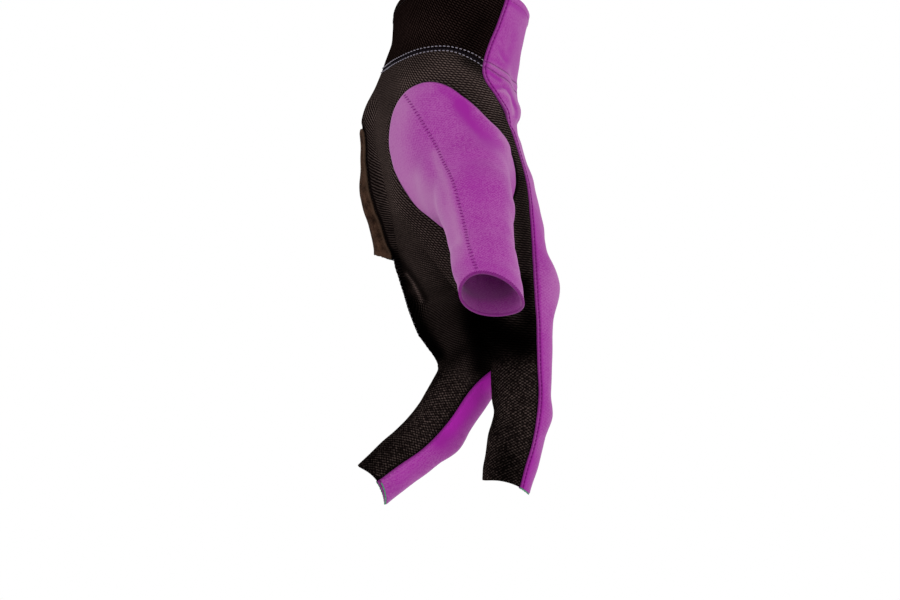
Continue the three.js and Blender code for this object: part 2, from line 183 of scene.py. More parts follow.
# The seams, each as a function of place that is zero on it.
backEdge = {
    "z": (12, 3.5, -5, -15, -21, -25, -29, -35, -42, -49, -56, -63, -70, -95, -117, -200),
    "near": (18.6, 16.3, 13.3, 9.2, 7.8, 9.2, 12.5, 15.5, 18.3, 20.6, 22.8, 24.3, 24.9, 26.1, 27.5, 27.5),
    "far": (6, 5, 4, 3, 2, 1, 0.5, -0.5, -2, -2.5, -3, -3.5, -4, -6, -8, -8),
    "band": (-18, 24),  # the depths between which it goes from near to far
}
fingerSeams = {  # how far a finger's own seam lies to the back of its bone, at each end
    "index_near": (4.6, 4.4),
    "index_far": (4.4, 4.8),
    "middle_near": (1.7, 1.3),
    "middle_far": (1.35, -0.2),
}
seamStart = (0.1, 0.5)  # how far along its first bone that seam takes over
seamBlend = 3.5


# A table's value at a height, evened over a few millimetres.
def atHeight(heights, values, z):
    shifts = (-2, -1, 0, 1, 2)
    return np.mean([np.interp(shift - z, -np.array(heights, float), values) for shift in shifts], axis=0)


# The way to the glove's back across a bone.
def backOf(name):
    start, end = bones[name]["ends"]
    return -unit(np.cross(acrossHand, vec(*end) - vec(*start)))


def backSide(points):
    x, z = seen(points)
    across = smooth(points[:, 1], *backEdge["band"])
    near = atHeight(backEdge["z"], backEdge["near"], z)
    far = atHeight(backEdge["z"], backEdge["far"], z)
    weight = np.exp(-np.maximum(nearest(palmBones, points), 0) / seamBlend)
    total = weight * (x - near - (far - near) * across)
    for name, offsets in fingerSeams.items():
        share, offset = lineDistance(points, bones[name]["ends"])
        start = smooth(share, *seamStart) if name.endswith("near") else 1
        pull = start * np.exp(-np.maximum(boneDistance(name, points), 0) / seamBlend)
        total = total + pull * (offset @ backOf(name) - offsets[0] - (offsets[1] - offsets[0]) * share)
        weight = weight + pull
    return total / weight


# The thumb cover's edge on the palm: its radius by direction, in degrees from the back to the wrist.
egg = {
    "x": -3.5,
    "z": -52.5,
    "depth": -14,
    "turn": (0, 11, 24, 46, 60, 72, 84, 96, 104, 114, 126, 138, 156, 180, 204, 216, 232, 251, 268, 300,
             335),
    "radius": (23, 21.8, 20.9, 19.5, 20.3, 21.6, 24, 26.9, 28.4, 29.2, 28.5, 26.5, 23.3, 20.5, 19.1, 19,
               19.9, 21.2, 25, 28, 26),
    "rounding": (-6, -3, 0, 3, 6),
}
thumbRoot = {"at": (4, -45, -68), "facing": (0.08, -0.86, -0.5), "corner": 4}


def thumbSide(points):
    x, z = seen(points)
    dx, dz = x - egg["x"], z - egg["z"]
    turn = np.degrees(np.arctan2(dz, dx))
    radius = np.mean([np.interp(turn + shift, egg["turn"], egg["radius"], period=360)
                      for shift in egg["rounding"]], axis=0)
    inEgg = np.minimum(radius - np.hypot(dx, dz), egg["depth"] - points[:, 1])
    past = (points - vec(*thumbRoot["at"])) @ unit(vec(*thumbRoot["facing"]))
    tube = np.minimum(past, nearest(otherBones, points) - nearest(thumbBones, points))
    return -melt(-inEgg, -tube, thumbRoot["corner"])


cuffArch = {"x": -6.7, "z": -13.4, "toBack": 0.024, "toPalm": 0.0185}


def cuffSide(points):
    x, z = seen(points)
    dx = x - cuffArch["x"]
    return z - cuffArch["z"] + dx * dx * np.where(dx > 0, cuffArch["toBack"], cuffArch["toPalm"])


openings = {
    "wrist": dict(at=(0, 0, 0), facing=(0.08, 0.3, 1), dip=0.022, dipFrom=-12),
    "thumb": dict(at=(10, -80.2, -100.3), facing=(-0.21, -0.7, -0.68), bone="thumb_end", bow=(1.03, 0.54)),
    "index": dict(at=(16.2, -30, -164.4), facing=(-0.28, -0.07, -0.96), bone="index_far", bow=(0.88, 0.15)),
    "middle": dict(at=(-29.3, -7.2, -165.1), facing=(-0.8, -0.12, -0.58), bone="middle_far", bow=(1.4, 0.1)),
    "fingers": dict(at=(-23.8, 28, -87.2), facing=(-0.916, 0, -0.402), ragged=0.07,
                    reach=((-122, -118, -114, -110, -102, -88), (0, 1.3, 2.3, 2.2, 1.5, 0))),
    "fingersTop": dict(at=(-24, 28, -87), facing=(-0.3, 0, -1), ragged=0.07),
}
rimReach = 6
farAway = 1e3


# A cut edge of mesh wanders from loop to loop.
def raggedness(points):
    x, y, z = points.T
    return np.sin(4.1 * z + 1.7 * y) + 0.7 * np.sin(2.3 * y + 3.1 * x) + 0.5 * np.sin(1.1 * z - 0.9 * y)


# Above zero on the glove's side of an opening. A finger's opening counts only round its own bone, and its
# rim bows: it reaches further on two opposite sides. The wrist's rim dips at the palm, and reach moves an
# edge by its height.
def opening(name):
    place = openings[name]

    def bowed(points):
        ends = bones[place["bone"]]["ends"]
        way = unit(vec(*ends[1]) - vec(*ends[0]))
        side = unit(np.cross(way, acrossHand))
        offset = points - vec(*ends[0])
        turn = 2 * np.arctan2(offset @ np.cross(way, side), offset @ side)
        return place["bow"][0] * np.cos(turn) + place["bow"][1] * np.sin(turn)

    def inside(points):
        value = -(points - vec(*place["at"])) @ unit(vec(*place["facing"]))
        value = value + place.get("ragged", 0) * raggedness(points)
        if "dip" in place:
            value = value - place["dip"] * np.maximum(place["dipFrom"] - points[:, 0], 0) ** 2
        if "reach" in place:
            value = value + np.interp(points[:, 2], *place["reach"])
        if "bone" in place:
            near = boneDistance(place["bone"], points) < rimReach
            value = np.where(near, value + bowed(points), farAway)
        return value

    return inside


def freeFingerSide(points):
    planes = np.maximum(opening("fingers")(points), opening("fingersTop")(points))
    return np.maximum(planes, nearest(freeBones, points) - nearest(fingerBones, points))


pad = {
    "z": (-38, -50, -58, -66, -75, -82, -90),
    "edge": (12.6, 13.6, 12.6, 11.4, 13, 14.2, 15.2),
    "top": -41,
    "bottom": -89,
    "bottomSlope": 0.5,
    "slopeFrom": 24,
    "far": -11,
    "corner": 4,
}


def padSide(points):
    x, y, z = points.T
    rise = pad["bottomSlope"] * np.maximum(y - pad["slopeFrom"], 0)
    ends = np.minimum(pad["top"] - z, z - pad["bottom"] - rise)
    sides = np.minimum(y - atHeight(pad["z"], pad["edge"], z), pad["far"] - x)
    return melt(ends, sides, pad["corner"])


# The form's surface as triangles. A rough grid of blocks finds where it lies, a fine one samples it there,
# each fine cell that it crosses gets a point, and each grid edge that it crosses gets two triangles.
grid = {
    "low": (-48, -92, -186),
    "high": (46, 50, 18),
    "step": 0.68,
    "block": 5,
    "band": 5.0,
    "passes": 3,
}


def corners(counts):
    return np.stack(np.meshgrid(*[np.arange(n) for n in counts], indexing="ij"), -1).reshape(-1, 3)


def sampled():
    low, block = vec(*grid["low"]), grid["block"]
    count = np.ceil((vec(*grid["high"]) - low) / (grid["step"] * block)).astype(int)
    blocks = corners(count)
    rough = form(low + (blocks + 0.5) * grid["step"] * block)
    values = np.kron(rough.reshape(count), np.ones((block, block, block)))
    near = blocks[np.abs(rough) < grid["band"]]
    fine = (near[:, None] * block + corners([block] * 3)[None]).reshape(-1, 3)
    values[tuple(fine.T)] = form(low + fine * grid["step"])
    return values


def skin():
    values = sampled()
    cells, places, rings = [], [], []
    for axis in range(3):
        onward = np.eye(3, dtype=int)[axis]
        u, w = np.eye(3, dtype=int)[(axis + 1) % 3], np.eye(3, dtype=int)[(axis + 2) % 3]
        first = np.argwhere(np.diff(values < 0, axis=axis))
        first = first[np.all(first >= u + w, axis=1)]
        a, b = values[tuple(first.T)], values[tuple((first + onward).T)]
        place = first + onward * (a / (a - b))[:, None]
        ring = np.stack([np.ravel_multi_index((first - i * u - j * w).T, values.shape)
                         for i, j in ((0, 0), (1, 0), (1, 1), (0, 1))], axis=1)
        ring[a >= 0] = ring[a >= 0][:, ::-1]
        cells.append(ring.ravel())
        places.append(np.repeat(place, 4, axis=0))
        rings.append(ring)
    known, order = np.unique(np.concatenate(cells), return_inverse=True)
    count = np.bincount(order)
    middle = np.stack([np.bincount(order, column) / count for column in np.concatenate(places).T], axis=1)
    quads = np.searchsorted(known, np.concatenate(rings))
    points = settle(vec(*grid["low"]) + middle * grid["step"])
    for _ in range(grid["passes"]):
        points = settle(evened(points, quads), 1)
    a, b, c, d = points[quads].transpose(1, 0, 2)
    shortFirst = np.linalg.norm(a - c, axis=1) < np.linalg.norm(b - d, axis=1)
    split = np.where(shortFirst[:, None], quads[:, [0, 1, 2, 0, 2, 3]], quads[:, [0, 1, 3, 1, 2, 3]])
    return points, split.reshape(-1, 3)


# Moves each point half way to the middle of its neighbours.
def evened(points, quads):
    starts = quads.ravel()
    ends = np.roll(quads, -1, axis=1).ravel()
    total = np.zeros_like(points)
    count = np.bincount(np.concatenate([starts, ends]), minlength=len(points))
    for here, there in ((starts, ends), (ends, starts)):
        for axis in range(3):
            total[:, axis] += np.bincount(here, points[there, axis], minlength=len(points))
    return (points + total / np.maximum(count, 1)[:, None]) / 2


# How far points lie past a seam, measured along the surface, and the way to move for more.
def measured(field, points, reach=6.0):
    past = field(points)
    away = np.zeros_like(points)
    near = np.abs(past) < reach
    climb = slope(field, points[near])
    normals = unit(slope(form, points[near]))
    climb = climb - normals * rowDot(climb, normals)
    steepness = np.linalg.norm(climb, axis=1)
    past[near] /= np.maximum(steepness, 0.2)
    away[near] = unit(climb)
    return past, away


snapShare = 0.25
longestStep = 0.3


# The part of a surface that lies past a seam by a distance, cut through its triangles.
def keepPast(surface, field, distance=0.0):
    points, faces = surface
    past, away = measured(field, points)
    past = past - distance
    close = np.abs(past) < snapShare * grid["step"]
    points = points.copy()
    points[close] = settle(points[close] - away[close] * past[close][:, None], 1)
    past[close] = 0
    inFace = past[faces]
    whole = np.all(inFace >= 0, axis=1) & np.any(inFace > 0, axis=1)
    mixed = faces[np.any(inFace > 0, axis=1) & ~whole]
    cuts = {}
    added = []
    for face in mixed.tolist():
        outline = []
        for here, there in zip(face, face[1:] + face[:1]):
            if past[here] >= 0:
                outline.append(here)
            if past[here] * past[there] < 0:
                key = (min(here, there), max(here, there))
                outline.append(cuts.setdefault(key, len(points) + len(cuts)))
        added += [[outline[0], outline[n], outline[n + 1]] for n in range(1, len(outline) - 1)]
    if cuts:
        a, b = np.array(list(cuts)).T
        share = (past[a] / (past[a] - past[b]))[:, None]
        fresh = settle(points[a] + (points[b] - points[a]) * share, 1)
        for _ in range(2):
            left, way = measured(field, fresh)
            move = np.clip(left - distance, -longestStep, longestStep)
            fresh = settle(fresh - way * move[:, None], 1)
        points = np.concatenate([points, fresh])
    faces = np.concatenate([faces[whole], np.array(added, int).reshape(-1, 3)])
    used, order = np.unique(faces, return_inverse=True)
    return points[used], order.reshape(-1, 3)


# Follows pairs of numbers into chains. A closed chain ends on its first number.
def chained(pairs):
    following = dict(pairs)
    ends = set(following.values())
    starts = [first for first in following if first not in ends]
    chains = []
    while following:
        here = starts.pop() if starts else next(iter(following))
        chain = [here]
        while here in following:
            here = following.pop(here)
            chain.append(here)
        chains.append(chain)
    return chains


def rimPairs(faces):
    sides = np.concatenate([faces[:, [0, 1]], faces[:, [1, 2]], faces[:, [2, 0]]])
    known = set(map(tuple, sides.tolist()))
    return [(a, b) for a, b in sides.tolist() if (b, a) not in known]


# The lines on a surface where values, one for each point, pass a level.
def levelLines(surface, values, level):
    points, faces = surface
    above = values - level
    above = np.where(above == 0, 1e-9, above)
    pairs = []
    places = {}
    for face in faces[np.ptp(np.sign(above[faces]), axis=1) > 0].tolist():
        ends = {}
        for here, there in zip(face, face[1:] + face[:1]):
            if above[here] * above[there] < 0:
                key = (min(here, there), max(here, there))
                share = above[here] / (above[here] - above[there])
                places[key] = points[here] + (points[there] - points[here]) * share
                ends["start" if above[here] > 0 else "end"] = key
        pairs.append((ends["start"], ends["end"]))
    return [np.array([places[key] for key in chain]) for chain in chained(pairs)]


def resampled(line, spacing):
    run = np.concatenate([[0], np.cumsum(np.linalg.norm(np.diff(line, axis=0), axis=1))])
    stops = np.linspace(0, run[-1], max(2, int(round(run[-1] / spacing)) + 1))
    return np.stack([np.interp(stops, run, line[:, axis]) for axis in range(3)], axis=1)


def lineLength(line):
    return float(np.sum(np.linalg.norm(np.diff(line, axis=0), axis=1)))


drawnEnds = 0.25  # the share of a drawn fold's length over which it begins and ends
drawnFade = 8


# Folds drawn as the eye sees them: a line of places (x, z), how deep it is (below zero for a ridge), its
# half width, and how far round to the back it reaches (y).
def drawnDepth(points, drawn):
    x, z = seen(points)
    line = np.array(drawn["line"], float)
    closest = np.full(len(points), np.inf)
    share = np.zeros(len(points))
    for n, (start, end) in enumerate(zip(line[:-1], line[1:])):
        run = end - start
        along = np.clip(((x - start[0]) * run[0] + (z - start[1]) * run[1]) / (run @ run), 0, 1)
        away = np.hypot(x - start[0] - along * run[0], z - start[1] - along * run[1])
        share = np.where(away < closest, (n + along) / (len(line) - 1), share)
        closest = np.minimum(away, closest)
    fadeEnds = smooth(share, 0, drawnEnds) * smooth(1 - share, 0, drawnEnds) if not drawn.get("full") else 1
    fadeBack = 1 - smooth(points[:, 1], drawn["reach"] - drawnFade, drawn["reach"])
    return -drawn["depth"] * np.exp(-(closest / drawn["spread"]) ** 2) * fadeEnds * fadeBack


# Slow swells of the cloth, which is never quite even.
unevenness = {"height": 0.10, "waves": 7, "long": 16, "short": 7, "seed": 11}


def swell(points):
    random = np.random.default_rng(unevenness["seed"])
    total = np.zeros(len(points))
    for _ in range(unevenness["waves"]):
        way = unit(random.normal(size=3))
        length = random.uniform(unevenness["short"], unevenness["long"])
        total += np.sin(points @ way * 2 * math.pi / length + random.uniform(0, 6.3))
    return total * unevenness["height"] / math.sqrt(unevenness["waves"])


# Where a point lies in its cloth, in millimetres across (u) and along (v). On the palm and back u goes
# round them both, and on a finger round its bone.
weave = {"axis": (-2, 2), "radius": 26, "thumbRadius": 11}


def around(points, ends, radius):
    start, end = vec(*ends[0]), vec(*ends[1])
    way = unit(end - start)
    side = unit(np.cross(way, acrossHand))
    other = np.cross(way, side)
    offset = points - start
    return np.stack([np.arctan2(offset @ other, -offset @ side) * radius, offset @ way], axis=1)


def handPlace(points):
    x, y, z = points.T
    turn = np.arctan2(y - weave["axis"][1], weave["axis"][0] - x)
    return np.stack([turn * weave["radius"], -z], axis=1)


def thumbPlace(points):
    return around(points, bones["thumb_middle"]["ends"], weave["thumbRadius"])


# Power mesh is two families of ribs that cross. Each falls to the right by some degrees, with a pitch, and
# ribCount counts the ribs of each that lie before a place.
ribs = {
    "hand": ((50, 0.76), (9, 0.8)),
    "cuff": ((60, 0.76), (25, 0.85)),
    "finger": ((34, 0.9), (-30, 0.9)),
}


def ribCount(place, families):
    counts = []
    for fall, pitch in families:
        fall = math.radians(fall)
        counts.append(-(place[:, 0] * math.sin(fall) + place[:, 1] * math.cos(fall)) / pitch)
    return np.stack(counts, axis=1)


def cuffRibs(points):
    return ribCount(handPlace(points), ribs["cuff"])


def palmRibs(points):
    return ribCount(handPlace(points), ribs["hand"])


fingers = {"index": ("index_near", "index_far"), "middle": ("middle_near", "middle_far")}
ribsChange = {"index": (18, 28), "middle": (26, 36)}  # how far down a finger its own ribs take over


def nearerFinger(name, points):
    other = "middle" if name == "index" else "index"
    return nearest(fingers[name], points) < nearest(fingers[other], points)


def fingerRibs(points):
    total = np.zeros((len(points), 2))
    for finger, names in fingers.items():
        place = np.zeros((len(points), 2))
        weights = np.zeros(len(points))
        before = 0
        for name in names:
            ends = bones[name]["ends"]
            share = np.exp(-np.maximum(boneDistance(name, points) + 1, 0) * 2) + 1e-9
            place += (around(points, ends, bones[name]["wide"][0]) + vec(0, before)) * share[:, None]
            weights += share
            before += np.linalg.norm(vec(*ends[1]) - vec(*ends[0]))
        here = nearerFinger(finger, points)
        total[here] = ribCount(place / weights[:, None], ribs["finger"])[here]
    return total


# One where a finger's own ribs show and zero where the palm's do.
def fingerShare(points):
    total = np.zeros(len(points))
    for finger, names in fingers.items():
        start, end = [vec(*corner) for corner in bones[names[0]]["ends"]]
        along = smooth((points - start) @ unit(end - start), *ribsChange[finger])
        total = np.where(nearerFinger(finger, points), along, total)
    return total


def ribTurn(families):
    girth = 2 * math.pi * weave["radius"]
    return vec(*[math.sin(math.radians(fall)) / pitch for fall, pitch in families]) * girth


periods = {
    "hand": ribTurn(ribs["hand"]),
    "cuff": ribTurn(ribs["cuff"]),
    "back": vec(2 * math.pi * weave["radius"], 0),
    "thumb": vec(2 * math.pi * weave["thumbRadius"], 0),
}


# A mesh object in metres from points in millimetres, with its knits as UV maps and numbers for each point.
def makeObject(name, points, faces, material, knits=None, marks=None):
    mesh = bpy.data.meshes.new(name)
    mesh.from_pydata((points * millimetre).tolist(), [], faces)
    mesh.update()
    corner = np.zeros(len(mesh.loops), int)
    mesh.loops.foreach_get("vertex_index", corner)
    for knit, (numbers, period) in (knits or {}).items():
        place = numbers[corner]
        if period is not None:
            byFace = place[:, 0].reshape(-1, 3)
            behind = byFace < byFace.max(axis=1, keepdims=True) - period[0] / 2
            place = place + behind.reshape(-1, 1) * period
        layer = mesh.uv_layers.new(name=knit)
        layer.data.foreach_set("uv", place.astype(np.float32).ravel())
    for mark, numbers in (marks or {}).items():
        layer = mesh.attributes.new(mark, "FLOAT", "POINT")
        layer.data.foreach_set("value", numbers.astype(np.float32))
    made = bpy.data.objects.new(name, mesh)
    bpy.context.scene.collection.objects.link(made)
    mesh.materials.append(material)
    mesh.polygons.foreach_set("use_smooth", np.ones(len(mesh.polygons), bool))
    mesh.validate()
    return made


rimSteps = 3


# Two triangles for each pair of neighbours on one edge and the same pair on the next.
def strips(one, other):
    return np.concatenate([np.stack([one[:, 1], one[:, 0], other[:, 0]], 1),
                           np.stack([one[:, 1], other[:, 0], other[:, 1]], 1)])


# A cloth of even thickness: a surface moved out and in, joined by a round edge.
def makeCloth(name, surface, cut, material, knits, lift, marks):
    points, faces = surface
    normals = unit(slope(form, points))
    raised = points + normals * lift[:, None]
    thick = cut["thick"]
    pairs = np.array(rimPairs(faces))
    onward = np.zeros_like(points)
    for end in (0, 1):
        np.add.at(onward, pairs[:, end], points[pairs[:, 1]] - points[pairs[:, 0]])
    outward = unit(np.cross(onward, normals))
    rim = np.unique(pairs)
    layers = [raised]
    ringStart = []
    for step in range(1, rimSteps):
        turn = math.pi * step / rimSteps
        middle = raised[rim] - normals[rim] * thick / 2
        ring = middle + normals[rim] * math.cos(turn) * thick / 2
        ring = ring + outward[rim] * math.sin(turn) * thick / 2 * cut["roundEdge"]
        ringStart.append(sum(len(layer) for layer in layers))
        layers.append(ring)
    innerStart = sum(len(layer) for layer in layers)
    layers.append(raised - normals * thick)
    order = np.full(len(points), -1)
    order[rim] = np.arange(len(rim))
    levels = [pairs] + [start + order[pairs] for start in ringStart] + [innerStart + pairs]
    edge = [strips(one, other) for one, other in zip(levels[:-1], levels[1:])]
    allFaces = np.concatenate([faces, innerStart + faces[:, ::-1], *edge])
    source = np.concatenate([np.arange(len(points)), np.tile(rim, rimSteps - 1), np.arange(len(points))])
    knits = {knit: (knitOf(points)[source], period) for knit, (knitOf, period) in knits.items()}
    marks = {mark: numbers[source] for mark, numbers in marks.items()}
    return makeObject(name, np.concatenate(layers), allFaces.tolist(), material, knits, marks)


print("sampling the worn form")
whole = skin()
for field in (opening("wrist"), opening("thumb"), opening("index"), opening("middle"), freeFingerSide):
    whole = keepPast(whole, field)
print("worn form:", len(whole[0]), "points,", len(whole[1]), "triangles")


def against(field):
    return lambda points: -field(points)


def distancePast(field, points):
    return measured(field, points)[0]


# Materials. A node gets its inputs by name or number, each a value or another node's output.
def addNode(tree, kind, inputs=None, **settings):
    made = tree.nodes.new(kind)
    for name, value in settings.items():
        setattr(made, name, value)
    for name, value in (inputs or {}).items():
        if isinstance(value, bpy.types.NodeSocket):
            tree.links.new(value, made.inputs[name])
        else:
            made.inputs[name].default_value = value
    return made


def calc(tree, operation, first, second=0.0, third=0.0, clamp=False):
    numbers = {0: first, 1: second, 2: third}
    return addNode(tree, "ShaderNodeMath", numbers, operation=operation, use_clamp=clamp).outputs[0]


def times(tree, first, second):
    return calc(tree, "MULTIPLY", first, second)


def plus(tree, first, second):
    return calc(tree, "ADD", first, second)


def less(tree, first, second):
    return calc(tree, "SUBTRACT", first, second)


def ramp(tree, factor, stops):
    made = addNode(tree, "ShaderNodeValToRGB", {"Fac": factor})
    elements = made.color_ramp.elements
    while len(elements) < len(stops):
        elements.new(0.5)
    for element, (position, colour) in zip(elements, stops):
        element.position = position
        element.color = (*colour, 1)
    return made.outputs["Color"]


# A colour as the eye names it, 0 to 255, for a shader.
def shade(red, green, blue):
    parts = [part / 255 for part in (red, green, blue)]
    return tuple(((part + 0.055) / 1.055) ** 2.4 if part > 0.04 else part / 12.92 for part in parts)


def newMaterial(name, roughness, specular, sheen=0.0, sheenRoughness=0.5, sheenTint=(1, 1, 1)):
    material = bpy.data.materials.new(name)
    material.use_nodes = True
    tree = material.node_tree
    shader = tree.nodes["Principled BSDF"]
    shader.inputs["Roughness"].default_value = roughness
    shader.inputs["Specular IOR Level"].default_value = specular
    shader.inputs["Sheen Weight"].default_value = sheen
    shader.inputs["Sheen Roughness"].default_value = sheenRoughness
    shader.inputs["Sheen Tint"].default_value = (*sheenTint, 1)
    return material, tree, shader


def weavePlace(tree, knit="weave"):
    uv = addNode(tree, "ShaderNodeUVMap", uv_map=knit)
    split = addNode(tree, "ShaderNodeSeparateXYZ", {0: uv.outputs["UV"]})
    return split.outputs["X"], split.outputs["Y"]


def objectNoise(tree, size, detail=2.0, roughness=0.5):
    place = addNode(tree, "ShaderNodeTexCoord").outputs["Object"]
    noise = addNode(tree, "ShaderNodeTexNoise", {"Vector": place, "Scale": 1 / (size * millimetre),
                                                 "Detail": detail, "Roughness": roughness})
    return noise.outputs["Fac"]


def mixColours(tree, factor, first, second):
    made = addNode(tree, "ShaderNodeMix", data_type="RGBA")
    for socket, value in ((made.inputs[0], factor), (made.inputs[6], first), (made.inputs[7], second)):
        if isinstance(value, bpy.types.NodeSocket):
            tree.links.new(value, socket)
        else:
            socket.default_value = value if isinstance(value, float) else (*value, 1)
    return made.outputs[2]


def attribute(tree, name):
    return addNode(tree, "ShaderNodeAttribute", attribute_name=name).outputs["Fac"]


# One near a place on a number's scale, and falling to zero over a width.
def bell(tree, value, at, width):
    away = calc(tree, "DIVIDE", less(tree, value, at), width)
    return calc(tree, "EXPONENT", times(tree, times(tree, away, away), -1.0))


def smoothStep(tree, value, low, high):
    made = addNode(tree, "ShaderNodeMapRange", {"Value": value, "From Min": low, "From Max": high},
                   interpolation_type="SMOOTHSTEP")
    return made.outputs["Result"]


# Dark lines at set distances from a cloth's edges, sewn lines and a painted shadow: how dark they are, and
# how deep in mm.
def sewnLines(tree, lines):
    dark = 0.0
    depth = 0.0
    for line in lines:
        near = bell(tree, attribute(tree, line["edge"]), line["at"], line["width"])
        dark = calc(tree, "MAXIMUM", dark, times(tree, near, line["dark"]))
        depth = plus(tree, depth, times(tree, near, line["depth"]))
    return dark, depth


# Colour and relief for a cloth's shader. It gets lighter or darker by a number of doublings of painted light
# and shade.
def dress(tree, shader, colour, doublings, relief):
    bright = calc(tree, "POWER", 2.0, doublings)
    scaled = addNode(tree, "ShaderNodeVectorMath", {0: colour, "Scale": bright}, operation="SCALE")
    tree.links.new(scaled.outputs[0], shader.inputs["Base Color"])
    bump = addNode(tree, "ShaderNodeBump", {"Height": relief, "Distance": millimetre, "Strength": 1.0})
    tree.links.new(bump.outputs["Normal"], shader.inputs["Normal"])


meshGrain = {"wander": 1.5, "kept": (0.42, 0.56), "loop": 0.8, "worn": 9.0, "uneven": (1.8, 0.1)}


# Power mesh: two families of ribs that cross in light spots, with dark gaps between. lean says which family
# shows more, and painted light and shade make the cloth lighter or darker, in doublings.
def ribHeight(tree, knit, lean, look):
    wander = times(tree, less(tree, objectNoise(tree, meshGrain["wander"]), 0.5), look["wander"])
    first, second = [calc(tree, "COSINE", times(tree, plus(tree, count, wander), 2 * math.pi))
                     for count in weavePlace(tree, knit)]
    both = plus(tree, times(tree, first, less(tree, 1.0, lean)), times(tree, second, lean))
    height = smoothStep(tree, both, look["from"], look["to"])
    kept = smoothStep(tree, objectNoise(tree, look["loopSize"], 3.0, 0.6), *meshGrain["kept"])
    return times(tree, height, calc(tree, "MULTIPLY_ADD", kept, look["broken"], 1 - look["broken"]))


def meshMaterial(name, look, lines, fingerLook=None):
    material, tree, shader = newMaterial(name, look["roughness"], look["specular"])
    height = ribHeight(tree, "weave", attribute(tree, "lean"), look)
    if fingerLook:
        share = attribute(tree, "finger")
        onFinger = ribHeight(tree, "fingerWeave", attribute(tree, "fingerLean"), fingerLook)
        height = plus(tree, times(tree, height, less(tree, 1.0, share)), times(tree, onFinger, share))
    loopShade = calc(tree, "MULTIPLY_ADD", objectNoise(tree, meshGrain["loop"]), *meshGrain["uneven"])
    height = times(tree, height, loopShade)
    worn = objectNoise(tree, meshGrain["worn"])
    lit = mixColours(tree, worn, shade(*look["loop"]), shade(*look["loopWorn"]))
    dark, depth = sewnLines(tree, lines)
    colour = mixColours(tree, times(tree, height, less(tree, 1.0, dark)), shade(*look["gap"]), lit)
    relief = less(tree, times(tree, height, look["relief"]), depth)
    dress(tree, shader, colour, attribute(tree, "paintedShading"), relief)
    return material


knitGrain = {"grain": 0.7, "clouds": 0.18, "loops": 0.12, "range": (0.4, 0.6), "paintedSheen": (1.2, 0.4)}


# Smooth stretch knit: fine wales and a soft grain. A painted sheen makes it paler where its light and shade
# mark is above zero, painted shade makes it deeper where that is below zero, and painted light brightens it.
def knitMaterial(name, look, lines):
    material, tree, shader = newMaterial(name, look["roughness"], look["specular"], look["sheen"],
                                         look["sheenRoughness"], shade(*look["sheenTint"]))
    u, v = weavePlace(tree)
    wale = calc(tree, "SINE", times(tree, u, 2 * math.pi / look["wale"]))
    course = calc(tree, "SINE", times(tree, v, 2 * math.pi / look["course"]))
    loops = calc(tree, "MULTIPLY_ADD", times(tree, wale, course), 0.5, 0.5)
    grain = objectNoise(tree, look["grain"], 3.0, 0.7)
    clouds = objectNoise(tree, look["clouds"], 2.0, 0.5)
    mixed = calc(tree, "MULTIPLY_ADD", grain, knitGrain["grain"], times(tree, clouds, knitGrain["clouds"]))
    mixed = calc(tree, "MULTIPLY_ADD", loops, knitGrain["loops"], mixed)
    low, high = knitGrain["range"]
    colour = ramp(tree, mixed, [(low, shade(*look["low"])), (high, shade(*look["high"]))])
    paintedShading = attribute(tree, "paintedShading")
    byGrain = calc(tree, "MULTIPLY_ADD", grain, *knitGrain["paintedSheen"])
    paintedSheen = calc(tree, "MULTIPLY", paintedShading, byGrain, clamp=True)
    colour = mixColours(tree, paintedSheen, colour, shade(*look["pale"]))
    paintedShade = calc(tree, "MULTIPLY", paintedShading, -1.0, clamp=True)
    colour = mixColours(tree, paintedShade, colour, shade(*look["deep"]))
    dark, depth = sewnLines(tree, lines)
    colour = mixColours(tree, dark, colour, shade(*look["crease"]))
    fine = plus(tree, times(tree, loops, 0.5), grain)
    relief = less(tree, times(tree, fine, look["relief"]), depth)
    dress(tree, shader, colour, attribute(tree, "paintedBrightening"), relief)
    return material


suedeGrain = {"range": (0.38, 0.62), "stains": (0.56, 0.72), "rubWidth": 0.5}


# Suede: a short nap in brushed patches over a fine grain.
def suedeMaterial(name, look):
    material, tree, shader = newMaterial(name, look["roughness"], look["specular"], look["sheen"], 0.5,
                                         shade(*look["sheenTint"]))
    nap = objectNoise(tree, look["nap"], 4.0, 0.7)
    brushed = objectNoise(tree, look["brushed"], 3.0, 0.55)
    mixed = plus(tree, times(tree, nap, 0.6), times(tree, brushed, 0.4))
    low, high = suedeGrain["range"]
    colour = ramp(tree, mixed, [(low, shade(*look["deep"])), (high, shade(*look["pale"]))])
    stains = smoothStep(tree, objectNoise(tree, look["stain"], 2.0, 0.5), *suedeGrain["stains"])
    colour = mixColours(tree, stains, colour, shade(*look["stained"]))
    rub = times(tree, bell(tree, attribute(tree, "edge"), 0.0, suedeGrain["rubWidth"]), 0.5)
    colour = mixColours(tree, rub, colour, shade(*look["rubbed"]))
    tree.links.new(colour, shader.inputs["Base Color"])
    relief = {"Height": nap, "Distance": look["relief"] * millimetre, "Strength": 0.7}
    bump = addNode(tree, "ShaderNodeBump", relief)
    tree.links.new(bump.outputs["Normal"], shader.inputs["Normal"])
    return material


twist = {"size": 0.25, "relief": 0.06}


# Sewing thread, with the twist of its plies.
def threadMaterial(name, look):
    material, tree, shader = newMaterial(name, look["roughness"], look["specular"], look["sheen"], 0.4,
                                         shade(*look["pale"]))
    fibres = objectNoise(tree, twist["size"], 2.0, 0.6)
    colour = ramp(tree, fibres, [(0.3, shade(*look["deep"])), (0.7, shade(*look["pale"]))])
    tree.links.new(colour, shader.inputs["Base Color"])
    relief = {"Height": fibres, "Distance": twist["relief"] * millimetre, "Strength": 0.8}
    bump = addNode(tree, "ShaderNodeBump", relief)
    tree.links.new(bump.outputs["Normal"], shader.inputs["Normal"])
    return material


def sewn(edge, at, width, dark, depth=0):
    return {"edge": edge, "at": at, "width": width, "dark": dark, "depth": depth}


